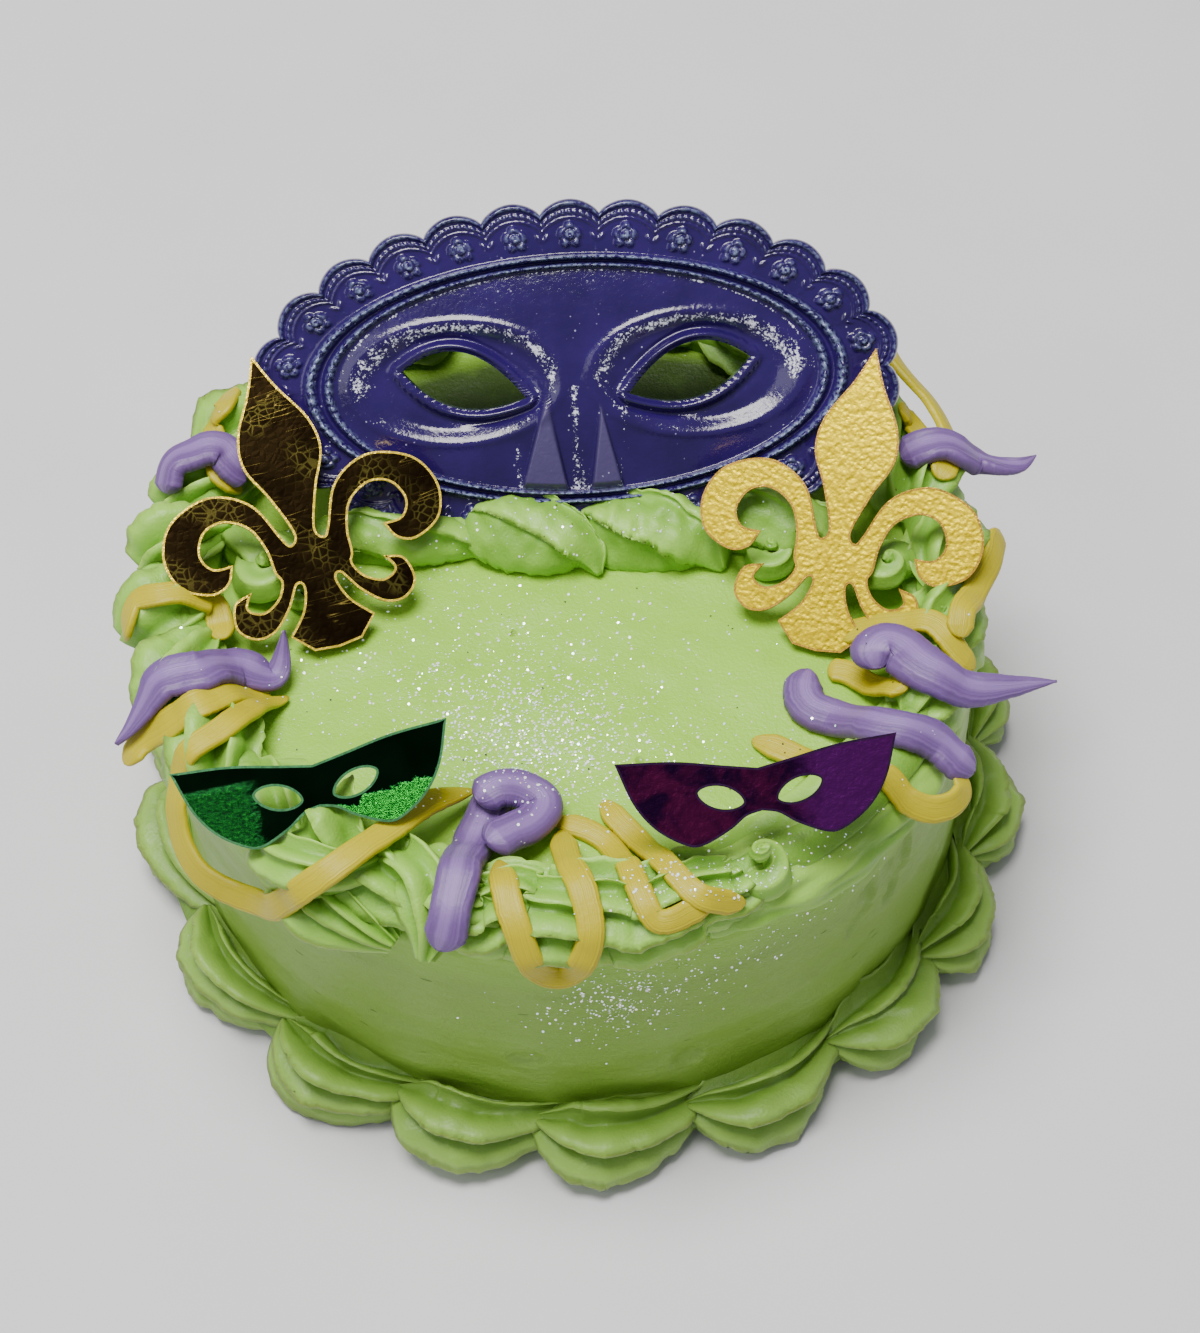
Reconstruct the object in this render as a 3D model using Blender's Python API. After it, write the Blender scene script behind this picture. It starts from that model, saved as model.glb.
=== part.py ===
"""Toy carnival cake for a doll: a green iced drum with piped shell borders, an oval
lace-edged mask plaque, four die-cut foil pieces and loose yellow and purple icing ribbons.

Sizes are in millimetres and are turned into metres as each mesh is made. The origin is the
centre of the underside, +Z is up and -Y is the front, the side that the mask looks to.
Azimuths are degrees counted anticlockwise from +X, so the front is at 270.
"""
import bpy
import bmesh
import numpy as np
from math import radians
from mathutils import Vector
from mathutils.bvhtree import BVHTree

MM = 0.001
GAP = 0.3
CORE_STEPS = 42

# Iced drum
DRUM_RADIUS = 44.0
DRUM_HEIGHT = 37.0
DRUM_EDGE = 3.0
DRUM_SIDES = 48

# Shell border round the foot
BASE_LINE_RADIUS = 46.3
BASE_LINE_HEIGHT = 3.8
BASE_CORE_RADIUS = 2.2
BASE_HEAD_SWING = 2.0
BASE_HEAD_LIFT = 3.0
BASE_FACES = 1950

# Each foot shell: azimuth, length, girth
BASE_SHELLS = [
    (191, 19.0, 4.5), (214, 18.5, 4.7), (235.5, 17.6, 4.9), (254.5, 17.4, 4.8),
    (274, 18.0, 4.8), (295, 18.6, 4.8), (315.5, 17.0, 4.7), (333, 16.0, 4.4),
    (351.5, 16.8, 4.5), (11, 17.0, 4.5), (31, 17.4, 4.7), (51, 17.0, 4.5), (71, 17.4, 4.6),
    (91, 17.0, 4.5), (111, 17.4, 4.7), (131, 17.0, 4.5), (151, 17.4, 4.6), (171, 17.2, 4.5),
]

# Border round the top edge
TOP_LINE_RADIUS = 40.4
TOP_LINE_HEIGHT = 38.6
TOP_CREST = 1.9
TOP_CORE_RADIUS = 3.6
RIDGE_DEPTH = 0.27
TOP_FACES = 2150

# Each top shell: azimuth, heading (0 along the edge, 90 outwards), length, girth
TOP_SHELLS = [
    (241, 16, 17, 5.3), (254, 4, 12, 4.4),
    (338, 8, 13, 4.3), (350, 24, 13, 4.9), (3, 12, 14, 5.4), (17, 30, 13, 5.0),
    (31, 12, 14, 5.0), (45, 12, 14, 4.9), (59, 10, 15, 5.0), (73, 12, 14, 4.9),
    (87, 10, 15, 5.1), (101, 12, 14, 4.9), (115, 14, 14, 5.0), (129, 20, 14, 5.0),
    (143, 36, 13, 5.1), (156, 58, 13, 5.0), (168, 66, 12, 4.9), (180, 70, 13, 5.1),
    (192, 56, 12, 5.0), (205, 40, 13, 5.2), (222, 24, 15, 5.0),
]

# Long ridged run at the front and the smeared rim that follows it
FRONT_RUN = (252, 293)
FRONT_RUN_GIRTH = 5.2
SMEAR_RUN = (288, 334)
SMEAR_WIDTH = 6.0
SMEAR_HEIGHT = 3.0

# Wavy piping at the foot of the plaque: x, y and radius of each bulge
BED_LINE = [
    (-35, 8, 2.4), (-31, 5, 4.2), (-25, 6.5, 3.6), (-20, 7.6, 3.4), (-14.5, 6.6, 4.3),
    (-9.5, 6.4, 3.5), (-5, 5.0, 4.6), (0, 5.2, 4.0), (3.5, 5.0, 4.5), (9, 5.4, 3.6),
    (13.5, 4.6, 4.6), (18, 5.4, 3.7), (22, 4.2, 4.2), (28, 3.6, 3.2), (31, 3.4, 2.2),
]
BED_HEIGHT = 38.2
PROP_LINE = [(1.2, 10, 3.0), (1.6, 13.5, 5.2), (1.2, 18, 6.4), (1.8, 23, 5.4), (1.2, 27, 3.4),
             (1.6, 30, 1.4)]
PROP_HEIGHT = 39.5
BED_FACES = 520
PROP_FACES = 260

# Oval mask plaque, laid out flat and then leaned back
PLAQUE_CENTRE = (1.6, 18.5, 50.3)
PLAQUE_LEAN = 44.0
PLAQUE_SPIN = 2.0
PLAQUE_HALF = (33.4, 17.6)
PLAQUE_BACK = -2.4
LOBES = 26
LOBE_RISE = 1.5
FIELD_HALF = (26.5, 12.1)
MOULD_RISE = 0.9
DOME_RISE = 1.8
FLOWER_INSET = 2.6
FLOWER_RADIUS = 1.5
FLOWER_RISE = 0.5
EYE_CENTRE = (12.1, 0.5)
EYE_INNER = (5.4, -1.8)
EYE_OUTER = (18.7, 1.6)
EYE_TOP = (12.0, 3.7)
EYE_BOTTOM = (12.8, -2.7)
LID_WIDTH = 0.7
LID_RISE = 0.7
SOCKET_HALF = (8.6, 5.0)
SOCKET_DEPTH = 0.7
NOSE_TOP = 2.5
NOSE_FOOT = -11.2
NOSE_HALF_WIDTH = 5.4
NOSE_RISE = 1.9

# Foil pieces: place of the foot, lean back, turn about the vertical, spin in the plane
FOIL = 0.4
FLEUR_LEFT = ((-24.0, -6.3, 38.2), 29.0, 15.7, 1.1)
FLEUR_RIGHT = ((26.0, -9.3, 37.9), 33.0, -21.5, 4.1)
MASK_GREEN = ((-24.6, -33.3, 43.8), 35.0, 0.0, 9.0)
MASK_PURPLE = ((18.5, -36.5, 44.5), 35.0, 0.0, 4.0)

# Right half of each foil outline as smooth stretches that meet at corners
FLEUR_HALF = [
    [(0, 32.4), (1.6, 28.6), (3.9, 24.4), (4.3, 20.8), (2.6, 17.0), (1.2, 12.9),
     (1.8, 11.7), (2.5, 12.7), (4.2, 16.5), (6.8, 18.5), (9.8, 18.9), (13.5, 17.2),
     (15.1, 13.8), (14.2, 10.4), (11.3, 8.8), (9.2, 9.4), (8.2, 11.3)],
    [(8.2, 11.3), (10.3, 11.5), (11.2, 13.2), (10.2, 15.3), (8.0, 15.9), (5.6, 14.5),
     (4.5, 11.8), (4.3, 9.3), (3.9, 8.1), (4.8, 6.5), (6.6, 5.6), (8.0, 6.4), (7.2, 8.0)],
    [(7.2, 8.0), (9.3, 7.2), (9.8, 4.6), (8.2, 3.0), (6.0, 3.2), (3.9, 5.1), (2.4, 7.4),
     (1.8, 6.9), (2.6, 4.6), (4.6, 2.3)],
    [(4.6, 2.3), (2.6, 0.2)],
    [(2.6, 0.2), (0, -0.1)],
]
HALF_MASK_HALF = [
    [(0, 7.0), (3.3, 7.6), (8.2, 8.5), (13.9, 8.9)],
    [(13.9, 8.9), (12.5, 4.8), (10.6, 2.1), (8.0, 0.3), (6.2, 0.0), (3.4, 1.2),
     (1.6, 2.4), (0, 2.8)],
]
SLIT_CENTRE = (3.9, 4.5)
SLIT_HALF = (2.3, 1.1)
SLIT_TILT = 18.0

# Icing ribbons: width and thickness, then the route that each one takes over the border.
# A route's third number is a height for a stretch that hangs over the rim.
YELLOW = (3.1, 0.9)
SLIM_YELLOW = (2.7, 0.9)
PURPLE = (4.4, 2.0)
REACH = 5.0
RAISE = 0.15
STEEPEST_RISE = 0.9
ROUTES_UNDER = {
    "ribbon_yellow_1": (YELLOW, [(-29.5, -13), (-32.5, -15), (-36, -17.5), (-39.7, -18.6),
                                 (-42.6, -19.4, 41.2), (-44, -19.8, 39)]),
    "ribbon_yellow_2": (YELLOW, [(-8.4, -37), (-7.2, -40.6), (-6.2, -43), (-5.2, -45.2, 40.5),
                                 (-3.6, -47, 37.8), (-1.4, -47.4, 36.6), (0.3, -46, 38.6),
                                 (0.8, -43.4), (-0.2, -39.6), (-1.4, -34)]),
    "ribbon_yellow_3": (SLIM_YELLOW, [(-2.4, -30.2), (0.2, -31), (2.4, -34.6), (4.3, -40),
                                      (6, -43.4), (8.6, -44.6)]),
    "ribbon_yellow_4": (SLIM_YELLOW, [(3, -27.4), (4.2, -30.8), (6, -35.4), (8.6, -39.8),
                                      (12, -41.6), (15, -42)]),
    "ribbon_yellow_5": (YELLOW, [(18.1, -21.6), (20.8, -23.6), (26, -27), (30.6, -29.2),
                                 (32.6, -31.2), (35.4, -31.4, 39.6), (38.2, -29.2, 38.8),
                                 (38.2, -26.8, 40)]),
    "ribbon_yellow_6": (YELLOW, [(26.4, -12.6), (29.3, -13.4), (31.2, -17.2), (33.8, -20.4)]),
    "ribbon_yellow_7": (YELLOW, [(37.6, 32.5, 40), (39.6, 27.6, 41.6), (41.4, 22.4), (43, 16)]),
    "ribbon_yellow_8": (YELLOW, [(37, 20), (39.4, 14.6), (40.8, 9), (39.4, 4.6)]),
    "ribbon_yellow_9": (YELLOW, [(-35.6, 24), (-36.6, 18), (-37.8, 12), (-38.4, 7.6)]),
    "ribbon_yellow_10": (YELLOW, [(-6, 40), (-1, 44), (4, 40.6), (9, 44), (15, 39)]),
}
ROUTES_OVER = {
    "ribbon_yellow_11": (YELLOW, [(-29.6, -16.2), (-33.4, -20.4), (-37, -23.2),
                                  (-39.8, -25, 41.6), (-40.2, -27.8, 39), (-37, -32, 38.6),
                                  (-32, -35.8, 39.2), (-26, -37.6), (-20.4, -36.6),
                                  (-15.6, -33.4), (-11.6, -30.4)]),
    "ribbon_yellow_12": (YELLOW, [(-45.8, -7.6, 40), (-45.2, -4.4, 41.6), (-42.2, -4.2),
                                  (-39.2, -5.6), (-36.8, -8.6), (-36, -11.6)]),
    "ribbon_yellow_13": (YELLOW, [(27.2, -10.6), (31, -10.8), (34.8, -11.8), (38, -13.8)]),
    "ribbon_yellow_14": (YELLOW, [(39.2, -12.6), (39.9, -9), (41.4, -4), (42.6, 0.6, 42),
                                  (42.4, 4.4, 42)]),
}
ROUTES_TOP = {
    "ribbon_purple_1": (PURPLE, [(-42.8, 7.6), (-40, 11), (-36.6, 13), (-32.6, 11.6)]),
    "ribbon_purple_2": (PURPLE, [(-46.7, -17.8, 38), (-44.8, -17.4, 41), (-42, -17),
                                 (-38.4, -16.4), (-34.6, -15.4), (-31.8, -15),
                                 (-29.8, -12)]),
    "ribbon_purple_3": (PURPLE, [(-13.8, -44.8, 39.6), (-12.8, -43.6, 42), (-11.6, -41),
                                 (-10.2, -37.4), (-8.6, -33.2), (-6.4, -30.4)]),
    "ribbon_purple_4": (PURPLE, [(26.4, -12.8), (24.4, -15.8), (25.8, -19.4), (30, -22.6),
                                 (35.2, -23.6), (39, -25)]),
    "ribbon_purple_5": (PURPLE, [(30.6, -15.4), (34, -17.4), (39, -19),
                                 (44.5, -18.6, 42.6), (49.5, -17.6, 41.5)]),
    "ribbon_purple_6": (PURPLE, [(35.6, 9.6), (39.4, 8.6), (43.6, 8.4), (47.6, 8.6, 42.6),
                                 (51, 12.2, 41.5)]),
    "ribbon_purple_7": (PURPLE, [(-20, 36.6), (-15.4, 40.4), (-11, 45, 41)]),
    "ribbon_purple_8": (PURPLE, [(-5.6, -29.8), (-3.8, -31), (-3.7, -33), (-5.8, -35),
                                 (-8, -37.6)]),
}
POINTED_ENDS = {"ribbon_purple_2", "ribbon_purple_5", "ribbon_purple_6", "ribbon_purple_7"}
YELLOW_SECTION = [(-1, -1), (1, -1), (1, 1), (-1, 1)]
PURPLE_SECTION = [(-1, -0.3), (-0.6, -1), (0.6, -1), (1, -0.3), (0.55, 1), (-0.55, 1)]

GREEN_ICING = ((0.40, 0.60, 0.22), 0.5, 0.0)
YELLOW_ICING = ((0.70, 0.55, 0.14), 0.5, 0.0)
PURPLE_ICING = ((0.29, 0.21, 0.49), 0.5, 0.0)
INDIGO_RESIN = ((0.025, 0.016, 0.10), 0.2, 0.0)
GOLD_FOIL = ((0.83, 0.58, 0.09), 0.25, 1.0)
GREEN_FOIL = ((0.01, 0.22, 0.03), 0.25, 1.0)
PURPLE_FOIL = ((0.17, 0.02, 0.22), 0.25, 1.0)


def clear_scene():
    for old in list(bpy.data.objects):
        bpy.data.objects.remove(old, do_unlink=True)


def paint(name, look):
    colour, roughness, metallic = look
    material = bpy.data.materials.get(name)
    if material is None:
        material = bpy.data.materials.new(name)
        material.use_nodes = True
        shader = material.node_tree.nodes["Principled BSDF"]
        shader.inputs["Base Color"].default_value = (*colour, 1.0)
        shader.inputs["Roughness"].default_value = roughness
        shader.inputs["Metallic"].default_value = metallic
    return material


def solid(name, points, faces, material=None):
    """Object from points in millimetres, its faces turned outwards."""
    mesh = bpy.data.meshes.new(name)
    mesh.from_pydata([Vector(p) * MM for p in points], [], faces)
    shape = bmesh.new()
    shape.from_mesh(mesh)
    bmesh.ops.recalc_face_normals(shape, faces=shape.faces)
    shape.to_mesh(mesh)
    shape.free()
    thing = bpy.data.objects.new(name, mesh)
    bpy.context.scene.collection.objects.link(thing)
    if material is not None:
        mesh.materials.append(material)
    return thing


def combine(thing, others, operation):
    """One Boolean with a collection, applied, and the collection's objects removed."""
    group = bpy.data.collections.new("operands")
    bpy.context.scene.collection.children.link(group)
    for other in others:
        group.objects.link(other)
    step = thing.modifiers.new("combine", "BOOLEAN")
    step.operation = operation
    step.operand_type = "COLLECTION"
    step.collection = group
    step.solver = "EXACT"
    evaluated = thing.evaluated_get(bpy.context.evaluated_depsgraph_get())
    mesh = bpy.data.meshes.new_from_object(evaluated)
    thing.modifiers.remove(step)
    thing.data = mesh
    for other in others:
        bpy.data.objects.remove(other, do_unlink=True)
    bpy.data.collections.remove(group)


def simplify(thing, faces):
    """Spread fewer triangles over the same form."""
    triangles = sum(len(f.vertices) - 2 for f in thing.data.polygons)
    step = thing.modifiers.new("simplify", "DECIMATE")
    step.ratio = min(1.0, faces / triangles)
    evaluated = thing.evaluated_get(bpy.context.evaluated_depsgraph_get())
    mesh = bpy.data.meshes.new_from_object(evaluated)
    thing.modifiers.remove(step)
    thing.data = mesh


def keep_largest(thing):
    """Drop loose scraps and sealed hollows: keep the piece with the most faces."""
    shape = bmesh.new()
    shape.from_mesh(thing.data)
    bmesh.ops.remove_doubles(shape, verts=shape.verts, dist=0.01 * MM)
    left = set(shape.faces)
    islands = []
    while left:
        island = {left.pop()}
        edge_of_island = list(island)
        while edge_of_island:
            face = edge_of_island.pop()
            for edge in face.edges:
                for near in edge.link_faces:
                    if near in left:
                        left.remove(near)
                        island.add(near)
                        edge_of_island.append(near)
        islands.append(island)
    islands.sort(key=len)
    scraps = [face for island in islands[:-1] for face in island]
    bmesh.ops.delete(shape, geom=scraps, context="FACES")
    bmesh.ops.triangulate(shape, faces=shape.faces)
    shape.to_mesh(thing.data)
    shape.free()


def finish(thing, material, angle=50):
    thing.data.materials.clear()
    thing.data.materials.append(material)
    thing.data.shade_smooth()
    thing.data.set_sharp_from_angle(angle=radians(angle))


def spline(points, per_span):
    """Catmull-Rom curve through the points."""
    p = [np.array(q, float) for q in points]
    p = [2 * p[0] - p[1]] + p + [2 * p[-1] - p[-2]]
    curve = []
    for a, b, c, d in zip(p, p[1:], p[2:], p[3:]):
        for t in np.arange(per_span) / per_span:
            curve.append(0.5 * (2 * b + (c - a) * t + (2 * a - 5 * b + 4 * c - d) * t ** 2
                                + (3 * b - a - 3 * c + d) * t ** 3))
    curve.append(p[-2])
    return np.array(curve)


def unit(v):
    v = np.asarray(v, float)
    return v / np.maximum(np.linalg.norm(v, axis=-1, keepdims=True), 1e-9)


def tangents(path):
    return unit(np.gradient(path, axis=0))


def loft(name, rings, closed=False, material=None):
    """Tube through rings of equal count, with a point at each end unless it is closed."""
    rings = np.array(rings)
    count, sides = rings.shape[:2]
    points = [tuple(p) for ring in rings for p in ring]
    faces = []
    for i in range(count if closed else count - 1):
        for j in range(sides):
            a = i * sides + j
            b = i * sides + (j + 1) % sides
            c = (i + 1) % count * sides + (j + 1) % sides
            d = (i + 1) % count * sides + j
            faces.append((a, b, c, d))
    if not closed:
        for row in (0, count - 1):
            points.append(tuple(rings[row].mean(axis=0)))
            hub = len(points) - 1
            faces += [(row * sides + j, row * sides + (j + 1) % sides, hub)
                      for j in range(sides)]
    return solid(name, points, faces, material)


def polar(azimuth, radius, height):
    a = radians(azimuth)
    return np.array([radius * np.cos(a), radius * np.sin(a), height])


def star(ridges, depth):
    """Angles from the outward side and radii of a section ridged there and plain behind."""
    spread = np.radians(np.linspace(-118, 118, 2 * ridges + 1))
    radii = np.where(np.arange(2 * ridges + 1) % 2 == 1, 1.0, 1.0 - depth)
    angles = np.append(spread, [radians(160), radians(200)])
    return angles, np.append(radii, [0.8, 0.8])


def ridged_tube(name, path, outward, girth, ridges, depth, closed=False):
    """Piped icing along a path: a ridged section whose size follows girth."""
    path = np.asarray(path, float)
    along = tangents(path)
    out = np.asarray(outward, float)
    out = unit(out - along * (out * along).sum(axis=1, keepdims=True))
    side = np.cross(along, out)
    angles, radii = star(ridges, depth)
    rings = []
    for centre, o, s, g in zip(path, out, side, girth):
        rings.append([centre + g * r * (np.cos(a) * o + np.sin(a) * s)
                      for a, r in zip(angles, radii)])
    return loft(name, rings, closed)


SHELL_GROWTH = np.array([0.34, 0.82, 1.0, 0.97, 0.80, 0.58, 0.36, 0.16])


def base_shell(azimuth, length, girth):
    """One shell of the foot border: a fat head that swings out, then a tail along the wall."""
    along = np.linspace(-0.46, 0.54, len(SHELL_GROWTH))
    degrees_per_mm = 180 / (np.pi * BASE_LINE_RADIUS)
    path = []
    for s in along:
        swing = BASE_HEAD_SWING * (np.cos(np.pi * (s + 0.12)) - 0.75)
        height = BASE_LINE_HEIGHT + BASE_HEAD_LIFT * max(0.0, -s - 0.18)
        path.append(polar(azimuth + s * length * degrees_per_mm,
                          BASE_LINE_RADIUS + swing, height))
    path = np.array(path)
    outward = unit(np.stack([path[:, 0], path[:, 1], np.full(len(path), 32.0)], axis=1))
    return ridged_tube("shell", path, outward, girth * SHELL_GROWTH, 5, RIDGE_DEPTH)


def ring_core(radius, height, girth, steps):
    azimuths = np.arange(steps) * 360 / steps
    rings = []
    for azimuth in azimuths:
        rings.append([polar(azimuth, radius + girth * np.cos(a), height + girth * np.sin(a))
                      for a in np.radians([20, 90, 160, 230, 310])])
    return loft("core", rings, closed=True)


def top_surface(radius):
    """Height of the top border's centre line over the drum's rounded edge."""
    beyond = radius - TOP_LINE_RADIUS
    return TOP_LINE_HEIGHT + TOP_CREST - 0.055 * beyond * abs(beyond) - 0.035 * beyond ** 2


def top_shell(azimuth, heading, length, girth):
    along = np.linspace(-0.45, 0.55, len(SHELL_GROWTH)) * length
    swing = along * np.sin(radians(heading))
    swing = np.where(swing > 0, swing * 0.72, swing * 0.55)
    degrees_per_mm = 180 / (np.pi * TOP_LINE_RADIUS)
    path = []
    for s, out in zip(along, swing):
        radius = TOP_LINE_RADIUS + out
        turn = s * np.cos(radians(heading)) * degrees_per_mm
        path.append(polar(azimuth + turn, radius, top_surface(radius) - 1.9))
    path = np.array(path)
    flat = np.stack([path[:, 0], path[:, 1], np.zeros(len(path))], axis=1)
    outward = unit(unit(flat) * 0.55 + np.array([0, 0, 1.0]))
    return ridged_tube("shell", path, outward, girth * SHELL_GROWTH, 5, RIDGE_DEPTH)


def front_run():
    azimuths = np.linspace(*FRONT_RUN, 12)
    path = np.array([polar(a, TOP_LINE_RADIUS - 0.2, TOP_LINE_HEIGHT - 0.2) for a in azimuths])
    outward = unit(path * np.array([1, 1, 0]) / TOP_LINE_RADIUS + np.array([0, 0, 0.9]))
    fade = np.sin(np.linspace(0.16, 0.86, 12) * np.pi) ** 0.45
    return ridged_tube("run", path, outward, FRONT_RUN_GIRTH * fade, 6, 0.2)


def smear_run():
    """Low flat rim where the border was pressed down."""
    azimuths = np.linspace(*SMEAR_RUN, 14)
    fade = np.sin(np.linspace(0.12, 0.9, 14) * np.pi) ** 0.3
    rings = []
    for azimuth, size in zip(azimuths, fade):
        sides = [(-1.0, -0.4), (-0.72, 0.62), (-0.2, 1.0), (0.35, 0.78), (0.8, 0.1),
                 (0.95, -0.9), (0.0, -1.6)]
        rings.append([polar(azimuth, TOP_LINE_RADIUS - 0.6 + SMEAR_WIDTH * size * x,
                            DRUM_HEIGHT + 0.6 + SMEAR_HEIGHT * size * z) for x, z in sides])
    return loft("smear", rings)


def drum(name, grow, material=None):
    """The iced drum, grown all round by the clearance when it is used as a cutter."""
    radius = DRUM_RADIUS + grow
    height = DRUM_HEIGHT + grow
    bend = np.radians([0, 22, 45, 68, 90])
    profile = [(radius - 0.4, -grow * 40), (radius, 6.0)]
    profile += [(radius - DRUM_EDGE * (1 - np.cos(a)), height - DRUM_EDGE * (1 - np.sin(a)))
                for a in bend]
    azimuths = np.arange(DRUM_SIDES) * 360 / DRUM_SIDES
    rings = [[polar(a, r, z) for a in azimuths] for r, z in profile]
    return loft(name, rings, material=material)


def wavy_piping(name, line, height, squash, ridges, depth, lean):
    route = spline(line, 2)
    path = np.column_stack([route[:, 0], route[:, 1], np.full(len(route), height)])
    outward = np.tile(np.array([0, lean, 1.0]), (len(path), 1))
    piece = ridged_tube(name, path, outward, route[:, 2], ridges, depth)
    for vertex in piece.data.vertices:
        vertex.co.z = (height + (vertex.co.z / MM - height) * squash) * MM
    return piece


def poly_half_to_whole(stretches, per_span):
    half = []
    for stretch in stretches:
        points = spline(stretch, per_span) if len(stretch) > 2 else np.array(stretch, float)
        half += [tuple(p) for p in points[:-1]]
    half.append(tuple(stretches[-1][-1]))
    mirrored = [(-x, y) for x, y in half[1:-1]][::-1]
    return np.array(half + mirrored)


def offset_outline(outline, distance):
    """Outline moved outwards; it runs clockwise."""
    step = np.roll(outline, -1, axis=0) - outline
    normal = unit(np.column_stack([-step[:, 1], step[:, 0]]))
    mean = unit(normal + np.roll(normal, 1, axis=0))
    return outline + distance * mean


def pose_axes(lean, turn, spin):
    lean, turn, spin = radians(lean), radians(turn), radians(spin)
    right = np.array([np.cos(turn), np.sin(turn), 0])
    back = np.array([-np.sin(turn) * np.cos(lean), np.cos(turn) * np.cos(lean), np.sin(lean)])
    x = right * np.cos(spin) + back * np.sin(spin)
    y = -right * np.sin(spin) + back * np.cos(spin)
    return x, y, np.cross(x, y)


def place(point, pose):
    centre, *angles = pose
    x, y, z = pose_axes(*angles)
    return np.array(centre) + point[0] * x + point[1] * y + point[2] * z


def plate(name, outline, low, high, pose, material=None):
    """Prism between two levels over an outline, set in its pose."""
    count = len(outline)
    points = [place((x, y, level), pose) for level in (low, high) for x, y in outline]
    faces = [tuple(range(count)), tuple(range(2 * count - 1, count - 1, -1))]
    faces += [(j, (j + 1) % count, count + (j + 1) % count, count + j) for j in range(count)]
    piece = solid(name, points, faces, material)
    shape = bmesh.new()
    shape.from_mesh(piece.data)
    bmesh.ops.triangulate(shape, faces=[f for f in shape.faces if len(f.verts) > 4])
    shape.to_mesh(piece.data)
    shape.free()
    return piece


def foil(name, stretches, pose, look, per_span=3):
    outline = poly_half_to_whole(stretches, per_span)
    return plate(name, outline, 0, FOIL, pose, look)


def foil_cutter(stretches, pose):
    outline = offset_outline(poly_half_to_whole(stretches, 1), GAP)
    return plate("foil_cutter", outline, -GAP, FOIL + GAP, pose)


def slit(side, pose):
    tilt = radians(SLIT_TILT * side)
    rim = []
    for a in np.linspace(0, 2 * np.pi, 12, endpoint=False)[::-1]:
        x = SLIT_HALF[0] * np.cos(a)
        y = SLIT_HALF[1] * np.sin(a) * abs(np.sin(a)) ** 0.3
        rim.append((side * SLIT_CENTRE[0] + x * np.cos(tilt) - y * np.sin(tilt),
                    SLIT_CENTRE[1] + x * np.sin(tilt) + y * np.cos(tilt)))
    return plate("slit", np.array(rim), -1, FOIL + 1, pose)


def half_mask(name, pose, look):
    piece = foil(name, HALF_MASK_HALF, pose, look, 2)
    combine(piece, [slit(-1, pose), slit(1, pose)], "DIFFERENCE")
    return piece


PLAQUE_POSE = (PLAQUE_CENTRE, PLAQUE_LEAN, 0.0, PLAQUE_SPIN)


def even_ellipse(half, count):
    """Angles that split an ellipse's edge into stretches of equal length."""
    fine = np.linspace(0, 2 * np.pi, 721)
    x, y = half[0] * np.cos(fine), half[1] * np.sin(fine)
    length = np.append(0, np.cumsum(np.hypot(np.diff(x), np.diff(y))))
    return np.interp(np.arange(count) / count * length[-1], length, fine)


def lobed_outline(grow, per_lobe):
    angles = even_ellipse(PLAQUE_HALF, LOBES * per_lobe)
    outline = []
    for k, a in enumerate(angles):
        phase = (k % per_lobe) / per_lobe
        rise = LOBE_RISE * np.sin(np.pi * phase) ** 0.7 + grow
        normal = unit(np.array([np.cos(a) / PLAQUE_HALF[0], np.sin(a) / PLAQUE_HALF[1]]))
        outline.append((PLAQUE_HALF[0] * np.cos(a) + rise * normal[0],
                        PLAQUE_HALF[1] * np.sin(a) + rise * normal[1]))
    return np.array(outline[::-1])


def eye_outline(side, grow, count):
    """Almond with one point at each corner of the eye."""
    def arc(a, b, c):
        t = np.linspace(0, 1, count)[:-1, None]
        a, b, c = (np.array(p) for p in (a, b, c))
        pull = 2 * b - (a + c) / 2
        return (1 - t) ** 2 * a + 2 * t * (1 - t) * pull + t ** 2 * c
    almond = np.vstack([arc(EYE_INNER, EYE_TOP, EYE_OUTER), arc(EYE_OUTER, EYE_BOTTOM, EYE_INNER)])
    centre = np.array(EYE_CENTRE)
    reach = np.linalg.norm(almond - centre, axis=1, keepdims=True)
    almond = centre + (almond - centre) * (1 + grow / reach)
    if side < 0:
        almond = almond[::-1] * np.array([-1, 1])
    return almond


def face_height(x, y):
    """Relief inside the mouldings: a dome with two sockets and a nose."""
    ratio = min(1.0, (x / FIELD_HALF[0]) ** 2 + (y / FIELD_HALF[1]) ** 2)
    height = DOME_RISE * (1 - ratio) ** 0.6
    across = (abs(x) - EYE_CENTRE[0]) / SOCKET_HALF[0]
    upward = (y - EYE_CENTRE[1]) / SOCKET_HALF[1]
    return height - SOCKET_DEPTH * np.exp(-(across ** 2 + upward ** 2) * 1.4)


def relief_disc():
    """Domed field and the two oval mouldings round it."""
    levels = [(0.30, None), (0.58, None), (0.78, None), (0.93, None), (0.975, 0.1),
              (1.0, MOULD_RISE * 0.8), (1.03, 0.2), (1.065, MOULD_RISE), (1.1, -0.4)]
    count = 40
    angles = even_ellipse(FIELD_HALF, count)
    rings = []
    for scale, level in levels:
        ring = []
        for a in angles:
            x, y = scale * FIELD_HALF[0] * np.cos(a), scale * FIELD_HALF[1] * np.sin(a)
            ring.append(place((x, y, face_height(x, y) if level is None else level),
                              PLAQUE_POSE))
        rings.append(ring)
    rings.append([place((FIELD_HALF[0] * np.cos(a), FIELD_HALF[1] * np.sin(a), -1.2),
                        PLAQUE_POSE) for a in angles])
    return loft("relief", rings)


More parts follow.
